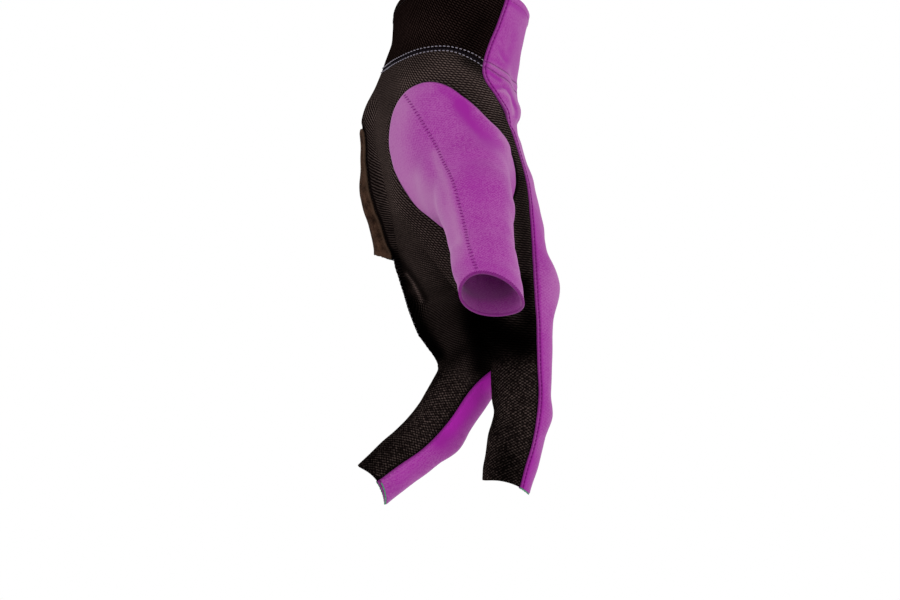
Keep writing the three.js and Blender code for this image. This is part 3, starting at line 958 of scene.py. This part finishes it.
handMesh = meshMaterial("hand_mesh", {
    "from": -0.25, "to": 0.85, "wander": 0.25, "broken": 0.3, "loopSize": 0.6, "relief": 0.12,
    "gap": (13, 8, 8), "loop": (66, 55, 52), "loopWorn": (80, 68, 64), "roughness": 0.85, "specular": 0.0,
}, [
    sewn("border", 0, 0.5, 0.9), sewn("egg", 0, 0.6, 0.9),
    # The pad line is a painted shadow on the mesh in the groove beside the pad.
    sewn("cuff", 0, 0.75, 0.85), sewn("pad", -0.9, 0.9, 1),
], {"from": -0.3, "to": 0.8, "wander": 0.4, "broken": 0.88, "loopSize": 0.8})
cuffMesh = meshMaterial("cuff_mesh", {
    "from": -0.2, "to": 0.85, "wander": 0.2, "broken": 0.35, "loopSize": 0.6, "relief": 0.1,
    "gap": (3, 1, 1), "loop": (32, 22, 20), "loopWorn": (42, 31, 29), "roughness": 0.85, "specular": 0.0,
}, [sewn("border", 0, 0.5, 0.9), sewn("cuff", 0, 0.75, 0.85), sewn("hem", 1.9, 0.3, 0.7, 0.15)])
# In the knit's colours, pale is the colour of a painted sheen and deep the colour of painted shade.
purple = {
    "wale": 1.1, "course": 1.0, "grain": 0.55, "clouds": 13, "relief": 0.05, "low": (133, 20, 128),
    "high": (152, 70, 146), "pale": (157, 94, 150), "deep": (136, 8, 132), "crease": (94, 0, 90),
    "roughness": 0.7, "specular": 0.2, "sheen": 0.2, "sheenRoughness": 0.45, "sheenTint": (240, 215, 236),
}
backKnit = knitMaterial("back_knit", purple, [
    sewn("border", 0.85, 0.4, 0.55, 0.16), sewn("border", 0, 0.25, 0.8),
    sewn("upper", 0, 0.4, 0.65, 0.25), sewn("lower", 0, 0.4, 0.65, 0.25),
])
thumbKnit = knitMaterial("thumb_knit", purple, [
    sewn("border", 0, 0.25, 0.7), sewn("hem", 0, 0.5, 0.8), sewn("zigzag", 0, 0.4, 0.08, 0.12),
])
padSuede = suedeMaterial("pad_suede", {
    "nap": 0.4, "brushed": 3, "stain": 2.6, "relief": 0.2, "deep": (14, 7, 4), "pale": (72, 51, 40),
    "stained": (30, 12, 8), "rubbed": (78, 61, 50), "roughness": 0.9, "specular": 0.02, "sheen": 0.02,
    "sheenTint": (150, 124, 104),
})


def thread(name, deep, pale, roughness, specular, sheen=0.0):
    return threadMaterial(name, {"deep": deep, "pale": pale, "roughness": roughness, "specular": specular,
                                 "sheen": sheen})


greyThread = thread("grey_thread", (78, 73, 84), (150, 144, 156), 0.6, 0.25, 0.05)
navyThread = thread("navy_thread", (7, 5, 9), (22, 18, 28), 0.8, 0.03)
blackThread = thread("black_thread", (10, 7, 8), (34, 27, 27), 0.8, 0.05)
purpleThread = thread("purple_thread", (92, 0, 88), (126, 12, 120), 0.8, 0.02)
hemThread = thread("hem_thread", (132, 24, 126), (152, 70, 146), 0.7, 0.1, 0.1)
greenThread = thread("green_thread", (36, 96, 74), (92, 158, 122), 0.6, 0.2, 0.05)
print("materials made")


# What a cloth's surface does, for any points of the form: slow swells, drawn folds, and dips beside its
# seams. lift is how far a cloth stands out from the form, tuck how deep a sewn edge dips, and width how far
# that reaches.
def surfaceOf(cut, drawn, dips):
    def at(points):
        lift = cut["lift"] + swell(points)
        for fold in drawn:
            lift = lift + drawnDepth(points, fold)
        for dip in dips:
            past = distancePast(dip["field"], points) - dip.get("at", 0)
            lift = lift - dip["tuck"] * np.exp(-(past / dip["width"]) ** 2)
        return lift

    return at


pixel = {"size": 0.35, "x": 460, "z": 10, "across": 900}  # size, zero and count across


def drawnAt(*pixels):
    return [((px - pixel["x"]) * pixel["size"], (pixel["z"] - py) * pixel["size"]) for px, py in pixels]


# Painted light and shade by place: soft lighter or darker spots along drawn lines. Each spot has a strength,
# a width in pixels, how far round to the back it reaches in millimetres, and its line in pixels.
def paintedShadingOf(points, spots):
    total = np.zeros(len(points))
    for strength, width, reach, *line in spots:
        spot = {"line": drawnAt(*line), "depth": -strength, "spread": width * pixel["size"], "reach": reach}
        total = total + drawnDepth(points, dict(spot, full=True))
    return total


def sew(piece, node):
    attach(piece, "root")
    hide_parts(node)


# The two rows of the cuff's seam where they cross the back, by direction round the wrist in degrees.
backRows = {
    "axis": vec(-2, 0),
    "upper": ((-80, -64, -57, -48, -39, -30, -8, 30, 60, 84),
              (-18.3, -20.2, -21.8, -23.1, -24.1, -25.2, -26.2, -23.5, -17, -12)),
    "lower": ((-80, -64, -61, -52, -44, -38, -33, -8, 30, 60, 84),
              (-20.6, -22.5, -23.8, -25.3, -26.4, -27.6, -28.6, -29.4, -26, -19, -13.8)),
}


def backRow(which):
    turns, heights = backRows[which]

    def above(points):
        x, y = (points[:, :2] - backRows["axis"]).T
        turn = np.degrees(np.arctan2(y, x))
        return points[:, 2] - np.mean([np.interp(turn + n, turns, heights) for n in (-3, 0, 3)], axis=0)

    return above


seamGap = 0.04
knitEdge = {"tuck": 0.3, "width": 0.7}
meshEdge = {"tuck": 0.45, "width": 1.0}
welt = {"at": -1.1, "tuck": -0.25, "width": 0.8}
backCut = {"lift": 0.2, "thick": 0.9, "roundEdge": 0.6}
palmCut = {"lift": 0.0, "thick": 0.9, "roundEdge": 0.5}
thumbCut = {"lift": 0.3, "thick": 0.9, "roundEdge": 0.7}
padCut = {"lift": 0.62, "thick": 0.8, "roundEdge": 0.6}

backFolds = [
    dict(line=drawnAt((488, 72), (495, 77.5), (501, 80.5)), depth=0.5, spread=0.8, reach=5),
    dict(line=drawnAt((492, 86.5), (503, 86.5), (508, 89), (512, 96), (514.5, 106), (515.5, 118)),
         depth=0.8, spread=0.8, reach=5),
    dict(line=drawnAt((496, 91), (503, 91.5), (508, 97), (511, 107)), depth=-0.5, spread=0.9, reach=5),
    dict(line=drawnAt((496, 98), (503, 107), (508, 118)), depth=-0.3, spread=1.2, reach=5),
    dict(line=[(14, -40.6), (21.5, -40.2), (24, -40.2)], depth=0.6, spread=1.5, reach=26, full=True),
    dict(line=[(15, -35.4), (22, -35.4), (24, -35.4)], depth=-0.4, spread=2.6, reach=26, full=True),
    dict(line=drawnAt((499.7, 48), (501.7, 55), (507, 64)), depth=0.45, spread=0.9, reach=5),
    dict(line=drawnAt((513, 28), (510, 44), (506, 56)), depth=0.35, spread=1.2, reach=5),
    dict(line=drawnAt((488, 57), (495, 61), (503, 66)), depth=0.35, spread=1.0, reach=5),
]
thumbSeam = [(405, 95), (410, 102), (417.5, 114), (425, 126), (432, 138), (438, 149), (443, 160),
             (448.5, 171), (453.5, 183), (457.3, 197), (461, 210), (464, 223), (466.5, 234), (469, 246),
             (472.5, 258), (477, 270)]
thumbFolds = [
    dict(line=drawnAt((447, 90), (458, 101), (468, 118), (481, 136), (495, 149)), depth=0.9, spread=2.4,
         reach=20),
    dict(line=drawnAt((515, 155), (519, 172), (518, 195)), depth=0.9, spread=2.5, reach=20, full=True),
    dict(line=drawnAt(*[(px - 4, py) for px, py in thumbSeam[3:]]), depth=-0.3, spread=1.5, reach=20),
    dict(line=drawnAt((468, 150), (476, 175), (480, 200)), depth=0.6, spread=5, reach=20),
    dict(line=drawnAt((499, 135), (507, 148), (513, 166)), depth=-0.4, spread=1.6, reach=20),
]
meshFolds = [
    dict(line=drawnAt((402, 266), (425, 300), (440, 340)), depth=0.5, spread=1.4, reach=30),
    dict(line=drawnAt((392, 258), (400.5, 285), (416, 318), (431, 350)), depth=-0.3, spread=0.9, reach=30),
    dict(line=drawnAt((455, 66), (470, 76), (484, 92)), depth=-0.35, spread=2.2, reach=10),
]
# Painted light and shade on the back: painted shade in the creases of the wrist folds and by the cuff's
# rows, painted highlights on the ridges between them, and lighter or darker patches down to the fingers.
backPaintedShading = [
    (-1.2, 2, 10, (488, 72), (495, 77.5), (500, 80.5)), (-0.5, 2, 10, (488, 58), (496, 62), (505, 67)),
    (-1.4, 2, 10, (493, 87), (503, 86.8), (508, 89.5), (512, 96), (514.5, 106), (515.5, 117)),
    (0.9, 1.5, 10, (497, 91), (503, 92), (508, 97), (511, 106), (512, 114)),
    (0.4, 4, 10, (501, 104), (508, 118)), (-0.3, 8, 10, (512, 52), (511, 68)),
    (-0.5, 2.2, 10, (499, 48), (502, 55), (507, 63)), (0.4, 2.5, 10, (492, 66), (503, 73), (511, 79)),
    (-0.9, 2.6, 10, (508, 2), (514, 5.5), (520, 10), (525, 15)), (0.4, 12, 10, (552, 272), (555, 295)),
    (-0.3, 9, 10, (545, 340), (542, 430)), (-0.8, 9, 10, (533, 462), (526, 485)),
    (-1.1, 13, 30, (488, 375), (470, 405), (440, 440)), (-0.4, 10, 30, (420, 460), (395, 490)),
    (-0.5, 10, 10, (548, 262), (534, 215)), (-0.3, 10, 10, (515, 35), (512, 62)),
]
# Painted light that brightens the middle finger and the fork below the index.
backPaintedBrightening = [
    (0.5, 10, 14, (493, 368), (487, 385)), (0.45, 12, 14, (484, 380), (470, 405), (450, 425)),
    (0.15, 10, 14, (430, 445), (400, 475)),
]
# Painted light and shade on the thumb cover: a painted sheen down its left side and on its ridges, and
# painted shade in the hollow across it and by its mouth.
thumbPaintedShading = [
    (0.75, 15, 20, (402, 108), (396, 140), (404, 175), (420, 203)),
    (0.6, 5, 20, (436, 155), (450, 195), (460, 242)),
    (0.5, 12, 20, (420, 180), (443, 215), (456, 255)), (-0.6, 6, 20, (444, 89), (456, 98), (465, 108)),
    (-1, 7.5, 20, (460, 106), (467, 117), (480, 133), (494, 146)), (-0.4, 12, 20, (470, 165), (478, 195)),
    (0.5, 4, 20, (500, 138), (508, 150), (514, 168)), (0.25, 6, 20, (414, 92), (430, 88)),
    (0.35, 3.5, 20, (474, 104), (493, 124), (505, 142)), (-0.3, 6, 20, (470, 262), (500, 270), (520, 285)),
]
# Painted light and shade on the mesh: lighter at the upper left, painted shadows under the thumb, between
# the fingers and along the free fingers' edge, and a painted highlight on the crease there.
palmPaintedShading = [
    (0.7, 13, 20, (402, 88), (440, 66), (472, 76), (500, 100)),
    (0.5, 13, 20, (380, 118), (384, 160), (392, 205)),
    (-1.1, 24, 40, (430, 322), (456, 348)), (-1.2, 8, 40, (519, 180), (524, 230), (526, 290)),
    (-3.5, 9, 40, (474, 328), (481, 366)), (-1, 8, 40, (428, 385), (402, 422), (366, 462)),
    (-2.5, 6, 40, (394, 255), (399, 270), (403, 285)),
    (-3, 7, 40, (403, 285), (413, 320), (422, 336), (436, 353)),
    (-1.7, 4, 40, (398, 260), (408, 271), (417, 285), (424, 299)),
    (-2.4, 6, 40, (412, 300), (421, 325), (433, 345), (440, 356)),
    (2.6, 1.6, 40, (406, 274), (413, 285), (421, 301)),
    (-2, 7, 40, (481, 342), (497, 358)), (-1.6, 7, 20, (468, 60), (484, 68)),
    (-0.7, 16, 40, (508, 365), (508, 470)), (0.5, 8, 40, (510, 395), (508, 412)),
    (-6, 17, 40, (478, 312), (500, 335), (522, 342)), (-1.6, 14, 40, (505, 462), (506, 475)),
    (-3, 9, 40, (522, 285), (530, 320)), (-1.2, 7, 40, (434, 380), (462, 350)),
    (-1, 5, 40, (492, 380), (494, 430)), (-0.6, 15, 40, (372, 465), (400, 448)),
    (-0.6, 6, 40, (358, 105), (352, 150)), (-0.8, 8, 40, (360, 125), (372, 175), (392, 250)),
]
# Painted light on the cuff at the left and painted shade at the right.
cuffPaintedShading = [(0.5, 14, 20, (410, 30), (440, 28)), (-0.6, 10, 20, (470, 45), (482, 20))]


# How far to the back of a finger's bone a point lies.
def boneBack(name, points):
    return lineDistance(points, bones[name]["ends"])[1] @ backOf(name)


markReach = 8


# The numbers by which a cloth's material finds its edges: how far each point lies past them.
def edgesOf(points, **fields):
    past = {name: distancePast(field, points) for name, field in fields.items()}
    return {name: np.clip(numbers, -markReach, markReach) for name, numbers in past.items()}


# Which family of ribs shows more, by place across the palm, the cuff and a finger.
leans = {
    "hand": ((-32, -16, -2, 12), (0.22, 0.4, 0.55, 0.68)),
    "cuff": ((-16, 6), (0.3, 0.65)),
    "finger": ((-8, 6), (0.4, 0.58)),
}
# backBorder's deep darkens the back along its top stitching with painted shade; the palm border's deep
# darkens the finger mesh beside the back's border with a painted shadow.
backBorder = {"at": 1.2, "width": 0.8, "deep": 0.6, "rowFrom": 0.7, "rowLess": 4, "middle": (0.2, 0.35)}
palmBorderShadow = {"width": 1.1, "deep": 1.6, "fall": (100, 116)}
wristSide = opening("wrist")
thumbMouth = opening("thumb")
offBack, offThumb, underCuff = against(backSide), against(thumbSide), against(cuffSide)


# One on the middle finger and zero on the rest of the back, whose border has a row of top stitching.
def middleReach(points):
    share = lineDistance(points, bones["middle_near"]["ends"])[0]
    return smooth(share, *backBorder["middle"]) * nearerFinger("middle", points)


backPart = keepPast(keepPast(whole, backSide, seamGap), offThumb, seamGap)
backAt = surfaceOf(backCut, backFolds, [dict(knitEdge, field=backSide), dict(knitEdge, field=offThumb),
                                        dict(welt, field=backRow("upper"))])
marks = edgesOf(backPart[0], border=backSide, upper=backRow("upper"), lower=backRow("lower"), hem=wristSide)
pastRow = marks["border"] > backBorder["rowFrom"]
marks["border"] = marks["border"] + backBorder["rowLess"] * middleReach(backPart[0]) * pastRow
marks["paintedShading"] = paintedShadingOf(backPart[0], backPaintedShading)
# Painted shade in the valley along the back's top stitching.
band = np.exp(-((marks["border"] - backBorder["at"]) / backBorder["width"]) ** 2)
marks["paintedShading"] -= backBorder["deep"] * band
marks["paintedBrightening"] = paintedShadingOf(backPart[0], backPaintedBrightening)
backCloth = makeCloth("back_cloth", backPart, backCut, backKnit, {"weave": (handPlace, periods["back"])},
                      backAt(backPart[0]), marks)
sew(backCloth, "back_panel")
print("back cloth made")

underHand = keepPast(keepPast(whole, offBack, seamGap), offThumb, seamGap)
palmPart = keepPast(underHand, underCuff, seamGap)
palmAt = surfaceOf(palmCut, meshFolds, [
    dict(meshEdge, field=offBack), dict(meshEdge, field=offThumb),
    dict(field=underCuff, tuck=0.1, width=0.6), dict(field=padSide, at=-0.8, tuck=0.5, width=1.2),
])
marks = edgesOf(palmPart[0], border=offBack, egg=offThumb, cuff=underCuff, pad=padSide)
marks["paintedShading"] = paintedShadingOf(palmPart[0], palmPaintedShading)
# A painted shadow on the finger mesh beside the back's border.
onFingers = smooth(-palmPart[0][:, 2], *palmBorderShadow["fall"])
marks["paintedShading"] -= palmBorderShadow["deep"] * onFingers * np.exp(-(marks["border"] / palmBorderShadow["width"]) ** 2)
onMiddle = nearerFinger("middle", palmPart[0])
fingerBack = np.where(onMiddle, boneBack("middle_near", palmPart[0]), boneBack("index_near", palmPart[0]))
marks["fingerLean"] = np.interp(fingerBack, *leans["finger"])
marks["lean"] = np.interp(palmPart[0][:, 0], *leans["hand"])
marks["finger"] = fingerShare(palmPart[0])
palmKnits = {"weave": (palmRibs, periods["hand"]), "fingerWeave": (fingerRibs, None)}
palmCloth = makeCloth("palm_cloth", palmPart, palmCut, handMesh, palmKnits, palmAt(palmPart[0]), marks)
sew(palmCloth, "palm_mesh")
print("palm cloth made")

cuffPart = keepPast(keepPast(whole, offBack, seamGap), cuffSide, seamGap)
print("making the cuff cloth")
cuffAt = surfaceOf(palmCut, [], [dict(meshEdge, field=offBack), dict(field=cuffSide, tuck=0.1, width=0.6)])
marks = edgesOf(cuffPart[0], border=offBack, cuff=cuffSide, hem=wristSide)
marks["paintedShading"] = paintedShadingOf(cuffPart[0], cuffPaintedShading)
marks["lean"] = np.interp(cuffPart[0][:, 0], *leans["cuff"])
cuffCloth = makeCloth("cuff_cloth", cuffPart, palmCut, cuffMesh, {"weave": (cuffRibs, periods["cuff"])},
                      cuffAt(cuffPart[0]), marks)
sew(cuffCloth, "cuff_mesh")


seamX, seamZ = np.array(drawnAt(*thumbSeam)).T


# How far to the right of the thumb's own seam a point lies, as the eye sees it.
def zigzagSide(points):
    x, z = seen(points)
    return np.where(points[:, 1] < egg["depth"], x - np.interp(-z, -seamZ, seamX), markReach)


thumbPart = keepPast(whole, thumbSide, seamGap)
thumbAt = surfaceOf(thumbCut, thumbFolds, [dict(field=thumbSide, tuck=0.4, width=0.8)])
marks = edgesOf(thumbPart[0], border=thumbSide, hem=thumbMouth)
marks["zigzag"] = np.clip(zigzagSide(thumbPart[0]), -markReach, markReach)
marks["paintedShading"] = paintedShadingOf(thumbPart[0], thumbPaintedShading)
marks["paintedBrightening"] = np.zeros(len(thumbPart[0]))
thumbWeave = {"weave": (thumbPlace, periods["thumb"])}
thumbCloth = makeCloth("thumb_cloth", thumbPart, thumbCut, thumbKnit, thumbWeave,
                       thumbAt(thumbPart[0]), marks)
sew(thumbCloth, "thumb_cover")

padPart = keepPast(whole, padSide)
padAt = surfaceOf(padCut, [], [dict(field=padSide, tuck=0.3, width=0.7)])
padLeather = makeCloth("pad_leather", padPart, padCut, padSuede, {"weave": (handPlace, None)},
                       padAt(padPart[0]), edgesOf(padPart[0], edge=padSide))
sew(padLeather, "palm_pad")
print("cloths made")


# Stitches. One stitch is a short thread that arches out of the cloth, and a row is many of them in one mesh.
stitchShape = {
    "sides": 6,
    "along": vec(-1, -0.86, -0.45, 0, 0.45, 0.86, 1),
    "full": vec(0.25, 0.8, 1, 1, 1, 0.8, 0.25),
}


def stitchFaces():
    sides, rings = stitchShape["sides"], len(stitchShape["along"])
    faces = []
    for start in range(0, (rings - 1) * sides, sides):
        for side in range(sides):
            a, b = start + side, start + (side + 1) % sides
            faces.append((a, b, b + sides, a + sides))
    faces.append(tuple(reversed(range(sides))))
    faces.append(tuple(range((rings - 1) * sides, rings * sides)))
    return faces


def stitchMesh(name, material, places, alongs, normals, look):
    along, full = stitchShape["along"], stitchShape["full"]
    turn = np.arange(stitchShape["sides"]) * 2 * math.pi / stitchShape["sides"]
    across = np.cross(alongs, normals)
    u = np.outer(along * look["length"] / 2, np.ones(len(turn)))
    w = np.outer(full, np.cos(turn)) * look["wide"] / 2
    n = np.outer(full, np.sin(turn)) * look["tall"] / 2
    n = n + (1 - along ** 2)[:, None] * look["arch"] + look["sink"]
    points = np.tile(places[:, None], (1, u.size, 1))
    for offset, way in ((u, alongs), (w, across), (n, normals)):
        points = points + offset.ravel()[None, :, None] * way[:, None]
    one = stitchFaces()
    starts = range(0, len(places) * u.size, u.size)
    faces = [tuple(start + corner for corner in face) for start in starts for face in one]
    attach(makeObject(name, points.reshape(-1, 3), faces, material), "root")


# Places for stitches along lines that lie on the form: one every pitch, turned from the line by slant.
def stitchPlaces(lines, at, pitch, slant=0.0, seed=1, loose=0.06):
    random = np.random.default_rng(seed)
    places, alongs, normals = [], [], []
    for line in lines:
        if lineLength(line) < 3 * pitch:
            continue
        stops = resampled(line, pitch)
        middle = (stops[1:] + stops[:-1]) / 2
        normal = unit(slope(form, middle))
        along = unit(stops[1:] - stops[:-1])
        along = unit(along - normal * rowDot(along, normal))
        turn = slant + random.normal(0, loose, len(middle))[:, None]
        along = along * np.cos(turn) + np.cross(normal, along) * np.sin(turn)
        places.append(middle + normal * at(middle)[:, None])
        alongs.append(along)
        normals.append(normal)
    return np.concatenate(places), np.concatenate(alongs), np.concatenate(normals)


def alongField(part, field, distance):
    return levelLines(part, distancePast(field, part[0]), distance)


castRay = {"before": 110, "steps": 80, "share": 0.7}


# The point of the form that the eye sees at a place (x, z).
def castOn(places):
    places = np.array(places, float)
    start = vec(eye["x"], -eye["away"], eye["z"])
    target = np.stack([places[:, 0], np.zeros(len(places)), places[:, 1]], axis=1)
    way = unit(target - start)
    points = start + way * (eye["away"] - castRay["before"])
    for _ in range(castRay["steps"]):
        points = points + way * (castRay["share"] * form(points))[:, None]
    return settle(points)


def pairUp(*sets):
    return [np.concatenate(pair) for pair in zip(*sets)]


# The cuff's seam: two rows whose gauge widens towards the back, and threads that cross between them.
gauge = {"palm": 0.8, "wider": 0.4, "between": (-4, 8)}


def rowBeside(part, field):
    half = gauge["palm"] + gauge["wider"] * smooth(part[0][:, 0], *gauge["between"])
    return levelLines(part, distancePast(field, part[0]) - half, 0)


cuffStitch = {"length": 0.9, "wide": 0.36, "tall": 0.3, "arch": 0.12, "sink": 0.06}
crossing = {"length": 1.3, "wide": 0.24, "tall": 0.2, "arch": 0.03, "sink": -0.03}
cuffRows = pairUp(stitchPlaces(rowBeside(palmPart, underCuff), palmAt, pitch=1.43, seed=2),
                  stitchPlaces(rowBeside(cuffPart, cuffSide), cuffAt, pitch=1.43, seed=3))
stitchMesh("cuff_stitches", greyThread, *cuffRows, cuffStitch)
middleRow = alongField(palmPart, underCuff, 0.12)
crossings = pairUp(stitchPlaces(middleRow, palmAt, pitch=0.72, slant=1.1, seed=12),
                   stitchPlaces(middleRow, palmAt, pitch=0.72, slant=-1.1, seed=13))
stitchMesh("cuff_crossings", navyThread, *crossings, crossing)

darkStitch = {"length": 1.15, "wide": 0.32, "tall": 0.26, "arch": 0.06, "sink": 0.0}
hemRow = {"in": 1.9, "pitch": 1.6}
rowsOnBack = alongField(backPart, backRow("upper"), 0) + alongField(backPart, backRow("lower"), 0)
stitchMesh("back_seam_stitches", purpleThread, *stitchPlaces(rowsOnBack, backAt, pitch=1.43, seed=4),
           dict(darkStitch, sink=-0.12))
borderRow = stitchPlaces(alongField(backPart, backSide, 0.85), backAt, pitch=1.45, seed=5)
offMiddle = middleReach(borderRow[0]) < 0.5
stitchMesh("border_stitches", purpleThread, *[numbers[offMiddle] for numbers in borderRow], darkStitch)
backHem = alongField(backPart, wristSide, hemRow["in"])
cuffHem = alongField(cuffPart, wristSide, hemRow["in"])
stitchMesh("hem_stitches", hemThread, *stitchPlaces(backHem, backAt, hemRow["pitch"], seed=6), darkStitch)
stitchMesh("cuff_hem_stitches", blackThread,
           *stitchPlaces(cuffHem, cuffAt, hemRow["pitch"], seed=7), darkStitch)

zigzagStitch = {"length": 1.5, "wide": 0.28, "tall": 0.2, "arch": 0.04, "sink": 0.02}
steps = np.linspace(0, 1, 120)
seamShare = np.linspace(0, 1, len(seamX))
seamLine = castOn(np.stack([np.interp(steps, seamShare, seamX), np.interp(steps, seamShare, seamZ)], axis=1))
stitchMesh("thumb_seam_stitches", purpleThread,
           *stitchPlaces([seamLine], thumbAt, pitch=1.4, slant=1.2, seed=8, loose=0.15), zigzagStitch)
thumbHem = alongField(thumbPart, thumbMouth, 0.35)
stitchMesh("thumb_hem_stitches", purpleThread,
           *stitchPlaces(thumbHem, thumbAt, pitch=0.8, slant=1.0, seed=9),
           dict(darkStitch, length=0.9, arch=0.0))

# Cut mesh edges: short ends of yarn that lean all ways, and green thread in the hems of the two fingers.
yarnEnd = {"length": 0.6, "wide": 0.2, "tall": 0.2, "arch": 0.0, "sink": -0.35}
ragged = []
for field in (opening("index"), opening("middle"), freeFingerSide):
    ragged += alongField(palmPart, field, 0.12)
ends = pairUp(stitchPlaces(ragged, palmAt, pitch=0.7, slant=1.2, seed=14, loose=0.5),
              stitchPlaces(ragged, palmAt, pitch=0.9, slant=-0.6, seed=15, loose=0.6))
stitchMesh("yarn_ends", blackThread, *ends, yarnEnd)
freeEdge = alongField(palmPart, freeFingerSide, 0.25)
stitchMesh("pale_yarn_ends", greyThread,
           *stitchPlaces(freeEdge, palmAt, pitch=2.1, slant=0.3, seed=16, loose=0.8),
           dict(yarnEnd, length=0.4, sink=0.02))
hemThreads = {"out": 0.42, "lowest": {"middle": -165, "index": 0}}
rows = []
for name, lowest in hemThreads["lowest"].items():
    rim = alongField(backPart, opening(name), 0.05)
    row = stitchPlaces(rim, backAt, pitch=1.1, slant=0.12, seed=17, loose=0.1)
    places, alongs, normals = [numbers[row[0][:, 2] < lowest] for numbers in row]
    rows.append([places + unit(vec(*openings[name]["facing"])) * hemThreads["out"], alongs, normals])
stitchMesh("green_hem_thread", greenThread, *pairUp(*rows),
           dict(darkStitch, length=1.3, wide=0.5, tall=0.5, sink=-0.4))
print("stitches made")

# Light, camera and floor.
sensor = 36
camera = bpy.data.objects.new("camera", bpy.data.cameras.new("camera"))
bpy.context.scene.collection.objects.link(camera)
camera.data.lens = sensor * eye["away"] / (pixel["size"] * pixel["across"])
camera.data.sensor_width = sensor
camera.location = Vector((eye["x"], -eye["away"], eye["z"])) * millimetre
camera.rotation_euler = (math.radians(90), 0, 0)
camera.data.clip_start = 0.05
camera.data.clip_end = 20
bpy.context.scene.camera = camera

world = bpy.data.worlds.new("studio")
world.use_nodes = True
world.node_tree.nodes["Background"].inputs["Color"].default_value = (1, 1, 1, 1)
world.node_tree.nodes["Background"].inputs["Strength"].default_value = 1.0
bpy.context.scene.world = world
bpy.context.scene.view_settings.view_transform = "Standard"

lamps = {
    "above": dict(place=(-0.35, -0.7, 0.7), size=0.5, watts=1.1),
    "left": dict(place=(-0.9, -0.45, 0.1), size=0.5, watts=0.8),
    "right": dict(place=(0.9, -0.12, -0.2), size=0.5, watts=1.3),
    "front": dict(place=(0.35, -0.85, -0.24), size=0.3, watts=1.8),
}
aim = Vector((0, -0.02, -0.08))
for name, lamp in lamps.items():
    light = bpy.data.lights.new(name, "AREA")
    light.size = lamp["size"]
    light.energy = lamp["watts"]
    made = bpy.data.objects.new(name, light)
    bpy.context.scene.collection.objects.link(made)
    made.location = lamp["place"]
    made.rotation_euler = (aim - Vector(lamp["place"])).to_track_quat("-Z", "Y").to_euler()

floorSize = {"radius": 0.6, "height": -0.3}
bpy.ops.object.select_all(action="DESELECT")
bpy.ops.mesh.primitive_circle_add(vertices=64, radius=floorSize["radius"], fill_type="NGON",
                                  location=(0, 0, floorSize["height"]))
floor = bpy.context.object
floor.name = "floor"
paper, _, _ = newMaterial("paper", 0.9, 0.2)
paper.node_tree.nodes["Principled BSDF"].inputs["Base Color"].default_value = (0.86, 0.86, 0.86, 1)
floor.data.materials.append(paper)
